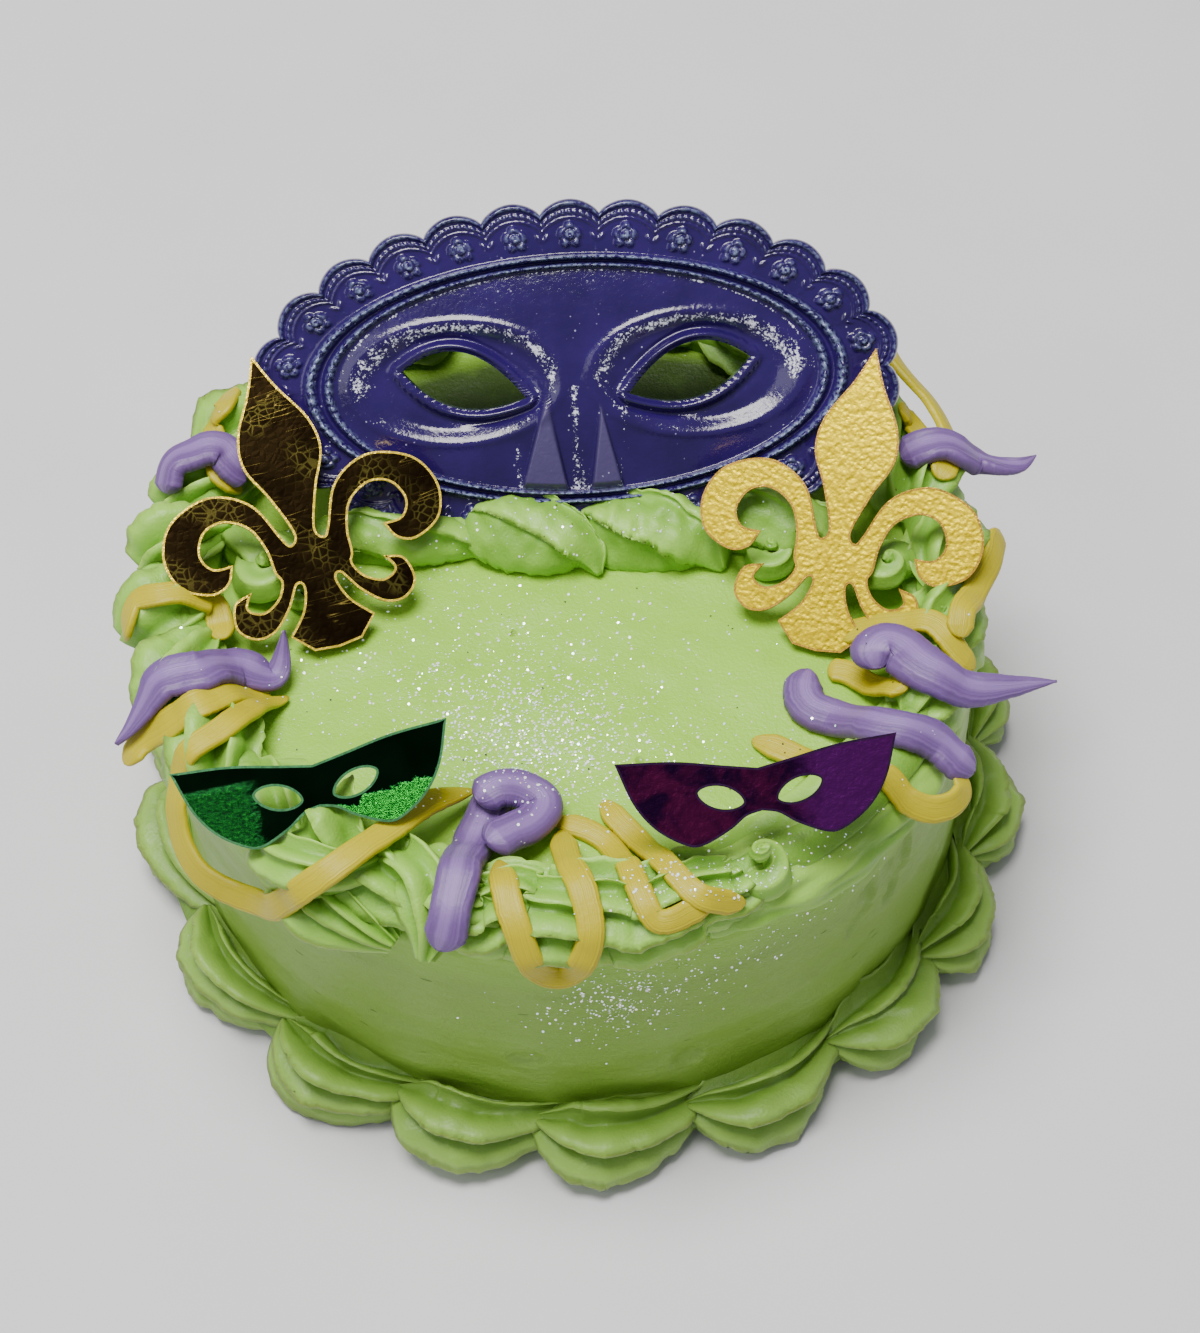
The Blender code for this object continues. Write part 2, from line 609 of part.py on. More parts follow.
def nose():
    """Wedge with a narrow flat ridge and two slanting sides."""
    top, foot, wide = NOSE_TOP, NOSE_FOOT, NOSE_HALF_WIDTH
    base = face_height(0, 0)
    points = [(-0.4, top, base - 0.6), (0.4, top, base - 0.6), (-0.4, top, base + 0.2),
              (0.4, top, base + 0.2), (-wide, foot, -0.6), (wide, foot, -0.6),
              (-0.8, foot, NOSE_RISE + 0.3), (0.8, foot, NOSE_RISE + 0.3)]
    faces = [(0, 1, 3, 2), (4, 6, 7, 5), (0, 2, 6, 4), (1, 5, 7, 3), (2, 3, 7, 6), (0, 4, 5, 1)]
    return solid("nose", [place(p, PLAQUE_POSE) for p in points], faces)


def lid(side):
    rings = []
    for inner, outer in zip(eye_outline(side, -0.25, 8), eye_outline(side, LID_WIDTH + 0.5, 8)):
        middle = (inner + outer) / 2
        level = face_height(*middle)
        rings.append([place((*p, z), PLAQUE_POSE) for p, z in
                      ((inner, level - 0.6), (inner, level + 0.25), (middle, level + LID_RISE),
                       (outer, level - 0.6))])
    return loft("lid", rings, closed=True)


def flower(index):
    phase = (index + 0.5) / LOBES
    angles = even_ellipse(PLAQUE_HALF, LOBES * 2)
    a = angles[int(round(phase * LOBES * 2)) % (LOBES * 2)]
    x = (PLAQUE_HALF[0] - FLOWER_INSET) * np.cos(a)
    y = (PLAQUE_HALF[1] - FLOWER_INSET) * np.sin(a)
    spots = np.linspace(0, 2 * np.pi, 5, endpoint=False)
    rings = [[place((x + r * np.cos(t), y + r * np.sin(t), z), PLAQUE_POSE) for t in spots]
             for r, z in ((FLOWER_RADIUS, -0.5), (FLOWER_RADIUS * 0.75, FLOWER_RISE))]
    return loft("flower", rings)


def plaque(material):
    piece = plate("mask_plaque", lobed_outline(0, 3), PLAQUE_BACK, 0, PLAQUE_POSE)
    raised = [relief_disc(), nose(), lid(-1), lid(1)]
    raised += [flower(k) for k in range(LOBES)]
    combine(piece, raised, "UNION")
    holes = [plate("hole", eye_outline(side, 0, 8)[::-1], PLAQUE_BACK - 2, 6, PLAQUE_POSE)
             for side in (-1, 1)]
    combine(piece, holes + [drum("drum_cutter", GAP)], "DIFFERENCE")
    keep_largest(piece)
    finish(piece, material, 40)
    return piece


def plaque_cutter():
    return plate("plaque_cutter", lobed_outline(GAP, 3), PLAQUE_BACK - GAP,
                 FLOWER_RISE + GAP, PLAQUE_POSE)


def border_normals(path):
    """Direction away from the top border, straight up from its crest inwards."""
    flat = path * np.array([1, 1, 0])
    radius = np.linalg.norm(flat, axis=1, keepdims=True)
    line = flat / radius * TOP_LINE_RADIUS + np.array([0, 0, DRUM_HEIGHT + 0.6])
    away = unit(path - line)
    outside = np.clip((radius - TOP_LINE_RADIUS + 1.0) / 3.0, 0, 1)
    return unit(away * outside + np.array([0, 0, 1.0]) * (1 - outside))


def drop(path, normals, width, thick, ground):
    """How far each point moves along its normal to lie on what is under the strip."""
    along = tangents(path)
    side = unit(np.cross(along, normals))
    lifts = np.zeros(len(path))
    for i, (point, normal, across) in enumerate(zip(path, normals, side)):
        heights = []
        for offset in (-0.3, 0, 0.3):
            start = point + across * offset * width + normal * REACH
            hit = ground.ray_cast(Vector(start) * MM, Vector(-normal), 2 * REACH * MM)
            if hit[0] is not None:
                heights.append(REACH - hit[3] / MM)
        if heights:
            lifts[i] = np.mean(heights) + thick / 2
    return lifts


def strip(name, path, normals, width, thick, pointed, grow=0.0, material=None):
    section = YELLOW_SECTION if thick < 1.5 else PURPLE_SECTION
    along = tangents(path)
    out = unit(normals - along * (normals * along).sum(axis=1, keepdims=True))
    side = np.cross(along, out)
    half_width = np.full(len(path), width / 2)
    half_thick = np.full(len(path), thick / 2)
    half_width[0] *= 0.8
    half_width[-1] *= 0.8
    if pointed:
        taper = np.clip((len(path) - 1 - np.arange(len(path))) / 5.0, 0.1, 1) ** 0.7
        half_width *= taper
        half_thick *= np.maximum(taper, 0.3)
    path = path.copy()
    path[0] -= along[0] * grow
    path[-1] += along[-1] * grow
    rings = []
    for centre, o, s, w, t in zip(path, out, side, half_width + grow, half_thick + grow):
        rings.append([centre + s * w * x + o * t * z for x, z in section])
    return loft(name, rings, material=material)


def raise_clear(path, normals, lifts, width, thick, pointed, ground):
    """Raise the strip, ring by ring, until it no longer cuts what is under it."""
    sides = len(YELLOW_SECTION if thick < 1.5 else PURPLE_SECTION)
    for _ in range(60):
        probe = strip("probe", path + normals * lifts[:, None], normals, width, thick,
                      pointed, GAP)
        cuts = {face for face, _ in tree(probe).overlap(ground)}
        bpy.data.objects.remove(probe, do_unlink=True)
        if not cuts:
            break
        spans = (len(path) - 1) * sides
        rings = set()
        for face in cuts:
            if face < spans:
                rings |= {face // sides, face // sides + 1}
            else:
                rings.add(0 if face < spans + sides else len(path) - 1)
        for ring in rings:
            lifts[ring] += RAISE
        for i in range(1, len(lifts)):
            lifts[i] = max(lifts[i], lifts[i - 1] - STEEPEST_RISE)
        for i in range(len(lifts) - 2, -1, -1):
            lifts[i] = max(lifts[i], lifts[i + 1] - STEEPEST_RISE)
    return lifts


def tree(*things):
    points, faces = [], []
    for thing in things:
        start = len(points)
        points += [v.co.copy() for v in thing.data.vertices]
        faces += [[start + i for i in f.vertices] for f in thing.data.polygons]
    return BVHTree.FromPolygons(points, faces)


def lay_ribbons(routes, below, material):
    """Lay strips one after another, each on what lies there already."""
    laid = []
    for name, ((width, thick), route) in routes.items():
        crest = TOP_LINE_HEIGHT + TOP_CREST + 3
        path = spline([(*p, crest)[:3] for p in route], 2)
        radius = np.hypot(path[:, 0], path[:, 1])
        inner = np.clip((TOP_LINE_RADIUS - radius) / 5, 0, 1)
        path[:, 2] -= (crest - DRUM_HEIGHT - 2) * inner
        normals = border_normals(path)
        pointed = name in POINTED_ENDS
        ground = tree(*below, *laid)
        lifts = drop(path, normals, width, thick, ground)
        lifts = raise_clear(path, normals, lifts, width, thick, pointed, ground)
        path = path + normals * lifts[:, None]
        laid.append(strip(name, path, normals, width, thick, pointed, material=material))
        finish(laid[-1], material)
    return laid


def slab(pose, reach):
    """Thin flat cutter that makes room for the sunk edge of a foil piece."""
    outline = np.array([(-reach, -1.2), (-reach, 12), (reach, 12), (reach, -1.2)])
    return plate("slab", outline, -GAP, FOIL + GAP, pose)


def copy_of(thing):
    twin = bpy.data.objects.new(thing.name, thing.data.copy())
    bpy.context.scene.collection.objects.link(twin)
    return twin


def swollen(thing):
    """The same solid pushed outwards by the clearance, to cut its neighbour with."""
    twin = copy_of(thing)
    for vertex in twin.data.vertices:
        vertex.co += vertex.normal * GAP * 1.4 * MM
    return twin


def build():
    clear_scene()
    green = paint("green_icing", GREEN_ICING)
    yellow = paint("yellow_icing", YELLOW_ICING)
    purple = paint("purple_icing", PURPLE_ICING)
    gold = paint("gold_foil", GOLD_FOIL)

    body = drum("cake_body", 0.0)
    finish(body, green, 35)

    base = ring_core(BASE_LINE_RADIUS - 0.6, 2.6, BASE_CORE_RADIUS, CORE_STEPS)
    base.name = "base_border"
    combine(base, [base_shell(*shell) for shell in BASE_SHELLS], "UNION")
    keep_largest(base)
    simplify(base, BASE_FACES)
    floor = plate("floor", np.array([(-70, -70), (-70, 70), (70, 70), (70, -70)]), -20, 0,
                  ((0, 0, 0), 0, 0, 0))
    combine(base, [drum("drum_cutter", GAP), floor], "DIFFERENCE")
    keep_largest(base)
    finish(base, green)

    top = ring_core(TOP_LINE_RADIUS, TOP_LINE_HEIGHT - 0.6, TOP_CORE_RADIUS, CORE_STEPS)
    top.name = "top_border"
    combine(top, [top_shell(*shell) for shell in TOP_SHELLS] + [front_run(), smear_run()],
            "UNION")
    keep_largest(top)
    simplify(top, TOP_FACES)
    slots = [foil_cutter(FLEUR_HALF, FLEUR_LEFT), foil_cutter(FLEUR_HALF, FLEUR_RIGHT),
             slab(MASK_GREEN, 12), slab(MASK_PURPLE, 12)]
    bed_slots = [copy_of(slots[0]), copy_of(slots[1]), swollen(top)]
    combine(top, slots + [drum("drum_cutter", GAP), plaque_cutter()], "DIFFERENCE")
    keep_largest(top)
    finish(top, green)

    fleur_left = foil("fleur_left", FLEUR_HALF, FLEUR_LEFT, gold, 2)
    fleur_right = foil("fleur_right", FLEUR_HALF, FLEUR_RIGHT, gold, 2)
    mask_green = half_mask("half_mask_green", MASK_GREEN, None)
    mask_purple = half_mask("half_mask_purple", MASK_PURPLE, None)
    finish(fleur_left, gold)
    finish(fleur_right, gold)
    finish(mask_green, paint("green_foil", GREEN_FOIL))
    finish(mask_purple, paint("purple_foil", PURPLE_FOIL))
    plaque(paint("indigo_resin", INDIGO_RESIN))

    bed = wavy_piping("mask_bed", BED_LINE, BED_HEIGHT, 0.92, 3, 0.16, -0.35)
    prop = wavy_piping("mask_prop", PROP_LINE, PROP_HEIGHT, 1.3, 4, 0.16, 0.0)
    simplify(bed, BED_FACES)
    simplify(prop, PROP_FACES)
    combine(bed, [drum("drum_cutter", GAP), plaque_cutter(), *bed_slots], "DIFFERENCE")
    combine(prop, [drum("drum_cutter", GAP), plaque_cutter()], "DIFFERENCE")
    for piece in (bed, prop):
        keep_largest(piece)
        finish(piece, green)

    below = [body, top]
    below += lay_ribbons(ROUTES_UNDER, below, yellow)
    foils = [fleur_left, fleur_right, mask_green, mask_purple]
    below += lay_ribbons(ROUTES_OVER, below + foils, yellow)
    lay_ribbons(ROUTES_TOP, below, purple)


build()
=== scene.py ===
"""Looks of the toy carnival cake: piped icing, a cast mask plaque, foil pieces and glitter.

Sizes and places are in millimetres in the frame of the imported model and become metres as
each mesh is made. Azimuths count anticlockwise from +X, so the front is at 270 degrees.
"""
import bpy
import bmesh
import numpy as np
from math import cos, radians, sin
from mathutils import Matrix, Vector
from mathutils.bvhtree import BVHTree


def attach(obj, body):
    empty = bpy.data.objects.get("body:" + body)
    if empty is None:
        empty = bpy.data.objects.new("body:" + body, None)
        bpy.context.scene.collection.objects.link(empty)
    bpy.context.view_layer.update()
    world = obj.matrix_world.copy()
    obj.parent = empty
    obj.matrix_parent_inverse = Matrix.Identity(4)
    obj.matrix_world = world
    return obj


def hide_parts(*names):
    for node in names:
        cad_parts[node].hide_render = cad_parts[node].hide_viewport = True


MM = 0.001

# Camera: elevation, distance from the middle of the underside, focal length and roll,
# and where that middle lies in the picture
CAMERA_ELEVATION = 56.5
CAMERA_DISTANCE = 360.0
CAMERA_ROLL = -2.5
PICTURE = (1200, 1333)
FOCAL_PIXELS = 3090
CENTRE_PIXEL = (574, 787)

# Drum
DRUM_RADIUS = 44.0
DRUM_HEIGHT = 37.0
DRUM_EDGE = 3.0

# Shallow dents in the wall: azimuth, height, half length, lean to the right in radians
DENTS = [(311.5, 25.0, 5.0, 0.35), (319.5, 25.5, 5.4, 0.35), (262.0, 15.0, 2.2, 1.3),
         (284.0, 12.0, 1.8, 1.2)]

# Foot border: azimuth, length, girth of each shell
BASE_LINE_RADIUS = 46.3
BASE_LINE_HEIGHT = 3.8
BASE_SHELLS = [
    (191, 19.0, 4.5), (214, 18.5, 4.7), (235.5, 17.6, 4.9), (254.5, 17.4, 4.8),
    (274, 18.0, 4.8), (295, 18.6, 4.8), (315.5, 17.0, 4.7), (333, 16.0, 4.4),
    (351.5, 16.8, 4.5), (11, 17.0, 4.5), (31, 17.4, 4.7), (51, 17.0, 4.5), (71, 17.4, 4.6),
    (91, 17.0, 4.5), (111, 17.4, 4.7), (131, 17.0, 4.5), (151, 17.4, 4.6), (171, 17.2, 4.5),
]

# Top border: azimuth, heading (0 along the edge, 90 outwards), length, girth of each shell
TOP_LINE_RADIUS = 40.4
TOP_LINE_HEIGHT = 38.6
TOP_CREST = 1.9
TOP_SHELLS = [
    (241, 16, 17, 5.3), (254, 4, 12, 4.4), (233, 8, 9, 7.2),
    (338, 8, 13, 4.3), (350, 24, 13, 4.9), (3, 12, 14, 5.4), (17, 30, 13, 5.0),
    (31, 12, 14, 5.0), (45, 12, 14, 4.9), (59, 10, 15, 5.0), (73, 12, 14, 4.9),
    (87, 10, 15, 5.1), (101, 12, 14, 4.9), (115, 14, 14, 5.0), (129, 20, 14, 5.0),
    (143, 36, 13, 5.1), (156, 58, 13, 5.0), (168, 66, 12, 4.9), (180, 70, 13, 5.1),
    (192, 56, 12, 5.0), (205, 40, 13, 5.2), (222, 24, 15, 5.0),
]
FRONT_RUN = (250, 294)
SMEAR_RUN = (287, 335)
SHELL_GROWTH = [0.14, 0.80, 1.04, 1.04, 0.90, 0.70, 0.50, 0.26]
FAN_GROWTH = [0.40, 0.62, 0.80, 0.94, 1.05, 1.06, 0.94, 0.62]

# Shells set apart from the line: girth, ridges, path. The first hangs over the front left edge
LOOSE_SHELLS = [
    (4.3, 10, [(-28.4, -33.0, 37.6), (-25.2, -36.6, 37.4), (-21.8, -39.2, 37.0),
               (-18.4, -41.2, 35.6)]),
    (3.3, 7, [(-31.5, -30.0, 38.0), (-29.6, -33.6, 40.4), (-26.5, -36.0, 42.2),
              (-22.2, -36.2, 42.0), (-18.5, -33.0, 39.6)]),
    (4.2, 7, [(-18.0, -33.0, 38.0), (-15.6, -37.0, 39.6), (-14.8, -41.0, 38.6),
              (-15.4, -43.6, 36.2)]),
]

# Soft swirls on the top border: centre, radius, height
SWIRLS = [
    ((34, -1.5, 40), 4.2, 3.2), ((39, -7.4, 39), 3.6, 3.4), ((41.6, 1.0, 39), 4.0, 3.2),
    ((-31.5, 3.0, 38), 4.4, 3.6), ((18.5, -37.2, 38.6), 3.2, 6.0),
    ((-27.6, 0.4, 37), 2.8, 2.4), ((22.5, 3.0, 37.4), 3.4, 3.4),
]

# Piping at the foot of the plaque: the line of its core, then girth and path of each shell
BED_LINE = [
    (-35, 8), (-31, 5), (-25, 6.5), (-20, 7.6), (-14.5, 6.6), (-9.5, 6.4), (-5, 5.0), (0, 5.2),
    (3.5, 5.0), (9, 5.4), (13.5, 4.6), (18, 5.4), (22, 4.2), (28, 3.6), (31, 3.4),
]
BED_SHELLS = [
    (3.2, [(-37, 9.5, 37.8), (-33, 6.6, 38.8), (-29, 4.6, 38.9), (-25.5, 4.2, 38.0)]),
    (3.5, [(-28, 9.0, 38.4), (-22, 8.0, 39.0), (-16, 7.2, 39.0), (-10.5, 6.8, 38.5),
           (-7.5, 5.2, 37.8)]),
    (4.4, [(-11.5, 9.4, 38.2), (-6.5, 7.6, 39.2), (-1.5, 6.4, 39.4), (2.4, 4.6, 38.7),
           (3.8, 2.2, 37.6)]),
    (4.5, [(1.6, 9.4, 38.2), (6.5, 7.4, 39.2), (11.5, 6.2, 39.4), (15.2, 4.4, 38.7),
           (17.0, 2.1, 37.6)]),
    (4.2, [(14.6, 9.4, 38.2), (19.5, 7.6, 39.2), (24, 6.0, 39.4), (28, 4.0, 38.6),
           (31, 2.2, 37.8)]),
]

# Mound behind the plaque: x, y and girth along its middle
PROP_LINE = [(1.2, 10, 3.0), (1.6, 13.5, 5.2), (1.2, 18, 6.4), (1.8, 23, 5.4), (1.2, 27, 3.4),
             (1.6, 30, 1.4)]

# Oval mask plaque, laid out flat and then leaned back: middle, lean, turn and spin of its pose
PLAQUE_POSE = ((2.2, 18.7, 50.4), 44.0, 0.0, 0.2)
PLAQUE_HALF = (33.4, 17.6)
PLAQUE_BACK = -2.4
LOBES = 26
LOBE_RISE = 1.5
FIELD_HALF = (26.5, 12.1)
LACE_INNER = 1.115
PER_LOBE = 30
FACE_ROWS = np.concatenate([np.linspace(0.012, 0.90, 44), np.linspace(0.91, 0.955, 5)])
EYE_CORNERS = ((5.5, -1.7), (12.0, 3.4), (18.6, 1.6), (12.8, -2.5))
SOCKET_CENTRE = (12.9, 0.2)
SOCKET_HALF = (9.9, 5.7)
NOSE_FACETS = [((-3.35, -1.3), (-6.6, -1.3), -12.0), ((2.4, -2.5), (1.0, 4.6), -11.8)]

# Foil pieces: thickness, then place of the foot, lean back, turn about the vertical and spin
# in the plane
FOIL = 0.4
FLEUR_LEFT = ((-24.0, -6.3, 38.2), 29.0, 15.7, 1.1)
FLEUR_RIGHT = ((26.0, -9.3, 37.9), 33.0, -21.5, 4.1)
MASK_GREEN = ((-24.6, -33.3, 43.8), 35.0, 0.0, 9.0)
MASK_PURPLE = ((18.5, -36.5, 44.5), 35.0, 0.0, 4.0)
# Right half of each outline, in smooth stretches that meet at corners
FLEUR_HALF = [
    [(0, 32.4), (1.6, 28.6), (3.9, 24.4), (4.3, 20.8), (2.6, 17.0), (1.2, 12.9),
     (1.8, 11.7), (2.5, 12.7), (4.2, 16.5), (6.8, 18.5), (9.8, 18.9), (13.5, 17.2),
     (15.1, 13.8), (14.2, 10.4), (11.3, 8.8), (9.2, 9.4), (8.2, 11.3)],
    [(8.2, 11.3), (10.3, 11.5), (11.2, 13.2), (10.2, 15.3), (8.0, 15.9), (5.6, 14.5),
     (4.5, 11.8), (4.3, 9.3), (3.9, 8.1), (4.8, 6.5), (6.6, 5.6), (8.0, 6.4), (7.2, 8.0)],
    [(7.2, 8.0), (9.3, 7.2), (9.8, 4.6), (8.2, 3.0), (6.0, 3.2), (3.9, 5.1), (2.4, 7.4),
     (1.8, 6.9), (2.6, 4.6), (4.6, 2.3)],
    [(4.6, 2.3), (2.6, 0.2)],
    [(2.6, 0.2), (0, -0.1)],
]
HALF_MASK_HALF = [
    [(0, 7.0), (3.3, 7.6), (8.2, 8.5), (13.9, 8.9)],
    [(13.9, 8.9), (12.5, 4.8), (10.6, 2.1), (8.0, 0.3), (6.2, 0.0), (3.4, 1.2),
     (1.6, 2.4), (0, 2.8)],
]
SLIT_CENTRE = (3.9, 4.5)
SLIT_HALF = (2.3, 1.1)
SLIT_TILT = 18.0

# Icing ribbons: width and thickness, then the route that each one takes over the border
YELLOW = (2.9, 0.9)
SLIM_YELLOW = (2.6, 0.9)
PURPLE = (4.3, 2.0)
BROAD_PURPLE = (5.6, 2.2)
ROUTES = {
    "yellow_1": ((3.6, 0.9), [
        (-31.3, -11.2, 37.2), (-34.2, -13.4, 39.5), (-37.4, -16.3, 42), (-40.6, -17, 40.9),
        (-43.6, -17, 38.4), (-45, -18, 37.2), (-45.9, -19.2, 36.4)]),
    "yellow_2": (YELLOW, [
        (-7.8, -35.3, 40.4), (-7.1, -40.1, 42.1), (-6.1, -43.7, 41.8), (-5.2, -45.5, 39.2),
        (-3.8, -45.6, 36.3), (-1.7, -45.3, 35.3), (0.2, -45.5, 38.7), (1.1, -43.7, 41.2),
        (0.5, -40.9, 42.2), (-0.7, -37, 41.5), (-1.6, -29.9, 37)]),
    "yellow_3": (SLIM_YELLOW, [
        (-2.4, -28.5, 36.9), (1.1, -30, 37), (3.6, -32.4, 37.1), (5.2, -38.1, 41.3),
        (6.2, -41.4, 41.8), (7.3, -42.9, 41), (9, -43.2, 41.2), (11.2, -42.1, 41.1),
        (12.9, -40.8, 40.3)]),
    "yellow_4": (SLIM_YELLOW, [
        (2.8, -26.4, 36.9), (4.1, -28.7, 37), (6.2, -31.5, 37.1), (8.2, -36.6, 41.4),
        (9.9, -39.5, 42), (11.7, -41.1, 41.6), (14.1, -40.5, 40), (16.3, -40.5, 39.7)]),
    "yellow_5": (YELLOW, [
        (18.3, -19.8, 36.8), (20.3, -20.6, 36.8), (23.3, -22.3, 36.8), (26.9, -26.3, 40.4),
        (29.8, -27.2, 40.9), (31.3, -27.1, 40.4), (32.3, -28.1, 39.7), (33.3, -29.2, 39),
        (35.5, -29.7, 38), (37.9, -28.9, 37.5), (39.3, -27, 37.5), (38.4, -25.7, 38.6)]),
    "yellow_6": (YELLOW, [
        (26.8, -11.6, 37.4), (28.9, -12.2, 37.6), (30.8, -14, 38), (32.4, -15.9, 38.8),
        (34.3, -18.2, 40)]),
    "yellow_7": (SLIM_YELLOW, [
        (36.2, 29, 43.2), (37.2, 26.3, 42.5), (38.6, 23.8, 42.1), (40.4, 20.9, 41.9),
        (41.6, 18, 41.6), (42.4, 15.3, 41.2)]),
    "yellow_8": (YELLOW, [
        (36.9, 18.2, 43.8), (38.3, 17.8, 41.2), (39.7, 14.7, 42.1), (41.2, 12.2, 41.9),
        (40.4, 8.7, 42.2)]),
    "yellow_9": (SLIM_YELLOW, [
        (-35.3, 26.6, 41.5), (-36.1, 22.7, 42.8), (-37.1, 21.1, 40.8), (-37.1, 16.3, 42.4),
        (-36.5, 14, 40.9), (-34.4, 13.4, 39.8)]),
    "yellow_10": (YELLOW, [
        (-6, 40, 41), (-1, 44, 41), (4, 40.6, 42), (9, 44, 41), (15, 39, 42)]),
    "yellow_11": (YELLOW, [
        (-29.2, -12, 36.9), (-31.5, -14, 37), (-34.2, -18.6, 41), (-36.6, -20.9, 41.4),
        (-39, -22.6, 40.8), (-40.1, -25.3, 39), (-40.1, -26.9, 37.4), (-39.6, -28.9, 36),
        (-38.4, -31, 35), (-36.8, -32.4, 34.4), (-34.6, -33.6, 34), (-32.5, -34.9, 34.6),
        (-30.3, -36.8, 36.6), (-27.9, -38.1, 40.5), (-24.7, -38.3, 44.3), (-21.6, -36.1, 44.6),
        (-18.6, -33.1, 43.4), (-14.7, -28.8, 41.6), (-12.1, -26.8, 39.8), (-10.2, -25.2, 38)]),
    "yellow_12": (YELLOW, [
        (-45.9, -4.8, 38.6), (-45.2, -4, 41), (-44.4, -2.2, 41.8), (-42.2, -2.4, 43.1),
        (-40.1, -2, 42.1), (-38.2, -1.9, 40.6), (-37, -1.9, 38.4), (-36.5, -3.6, 37.4),
        (-36, -6.2, 38.4)]),
    "yellow_13": (YELLOW, [
        (28.2, -7.9, 38.2), (30.8, -8.2, 39.6), (33.9, -8.9, 41.2), (37.8, -9.9, 41.8),
        (39.3, -11.9, 41.6), (40.4, -13.3, 41), (41.8, -14.2, 40)]),
    "yellow_14": (YELLOW, [
        (46, 2.8, 41.5), (44.8, -1.5, 42), (42.3, -6.1, 42), (40.6, -9, 42), (40.1, -12.2, 42)]),
    "purple_1": (PURPLE, [
        (-41.8, 12.1, 40.9), (-40.4, 14.4, 41.7), (-38.3, 15.8, 42.2), (-36.4, 16.2, 41.6),
        (-35, 14.8, 41.3), (-34.2, 14.6, 39.5)]),
    "purple_2": ((5.0, 1.8), [
        (-46.5, -17.6, 38), (-44.6, -16.3, 39.5), (-42.4, -14.1, 41), (-40.4, -12.5, 41.5),
        (-37.9, -12.5, 42), (-36, -10.9, 39.6), (-34, -9.9, 37.8), (-32, -10.4, 37.3),
        (-30.5, -10.2, 37.8), (-29.8, -8.6, 39.4), (-29.4, -6.6, 41.6)]),
    "purple_3": (PURPLE, [
        (-13.5, -43.1, 38.4), (-12.6, -42.1, 41), (-11.8, -39.2, 41.8), (-11.2, -35.6, 39.6),
        (-10.4, -31.5, 37.2), (-9.7, -29.8, 37), (-8.5, -26.9, 37), (-7.2, -24.8, 36.8)]),
    "purple_4": (PURPLE, [
        (25.1, -11.8, 37.3), (24.1, -14.4, 37.2), (24.9, -16.8, 37.2), (27.3, -18, 37.4),
        (30.6, -21, 40.1), (33.7, -22.3, 40.9), (36.6, -22.6, 39.6), (38.6, -24.3, 38.5),
        (40.1, -24.6, 37)]),
    "purple_5": (BROAD_PURPLE, [
        (31.5, -15.5, 41.8), (31.5, -13.8, 42.6), (32.7, -12.8, 42.8), (34.4, -13.6, 42.5),
        (35.8, -15.5, 42), (38.1, -17, 41.6), (40.4, -17.6, 41.4), (43, -17.5, 41.2),
        (45.6, -17.2, 41.1), (49.5, -16.8, 41)]),
    "purple_6": (PURPLE, [
        (36.5, 12, 41.9), (38.5, 12.5, 41.8), (40.4, 12.4, 41.8), (42.1, 11.8, 42),
        (44.2, 12, 41), (46.1, 11.5, 41), (47.6, 11.3, 41), (49.4, 11.7, 41), (51, 12.9, 41)]),
    "purple_7": (PURPLE, [
        (-20, 36.6, 42), (-15.4, 40.4, 42), (-11, 45, 41)]),
    "purple_8": (PURPLE, [
        (-10, -27.9, 39.6), (-7.6, -26.4, 39.9), (-5.1, -26.4, 39.3), (-3.3, -27.7, 38.8),
        (-4.2, -30.1, 39.2), (-6.7, -32.1, 40.2), (-9, -33.8, 41)]),
}
# How much of a ribbon's length narrows to a point at its start and at its end
POINTS = {"purple_2": (0.28, 0.36), "purple_5": (0, 0.62), "purple_6": (0, 0.45),
          "purple_7": (0, 0.45)}

# Loose bits on the flat top: centre, spread and count of each drift
TOP_GLITTER = [
    ((-5, -18.5), (7, 5), 1900), ((-8, -10), (10, 6), 750), ((8, -21), (8, 4), 260),
    ((-18, -6), (8, 8), 120), ((6, -2), (13, 7), 110), ((-2, 6), (15, 2.5), 150),
    ((14, -40), (7, 2.0), 330), ((26, -35), (7, 3), 190), ((0, -4), (36, 36), 150),
]
SPECKS = [((4, -12), (22, 20), 60)]
# Glitter on the wall: azimuth, height and their spreads, count
WALL_GLITTER = [(274, 26, 6, 3.6, 420), (284, 30, 8, 3, 140), (300, 31, 12, 3, 90)]
WALL_BAND = (11, 35)
FLAKE_SIZE = (0.05, 0.12)
SPECK_SIZE = (0.07, 0.14)
FLAKE_TINTS = [
    (0.0, (0.92, 0.95, 1.0)), (0.3, (0.98, 0.98, 0.96)), (0.5, (0.62, 0.88, 1.0)),
    (0.65, (1.0, 0.74, 0.86)), (0.8, (0.70, 0.98, 0.80)), (0.92, (1.0, 0.90, 0.55)),
]

# Lights: place, width, power and tint
AIM = (0, 0, 0.03)
LIGHTS = {"key": ((-0.12, 0.02, 0.82), 0.42, 11.5, (1.0, 0.98, 0.95)),
          "fill": ((-0.45, -0.40, 0.7), 0.5, 1.4, (1.0, 1.0, 1.0))}
SKY = (0.93, 0.96, 1.0, 1)
SKY_STRENGTH = 0.36
FLOOR_REACH = 3.0

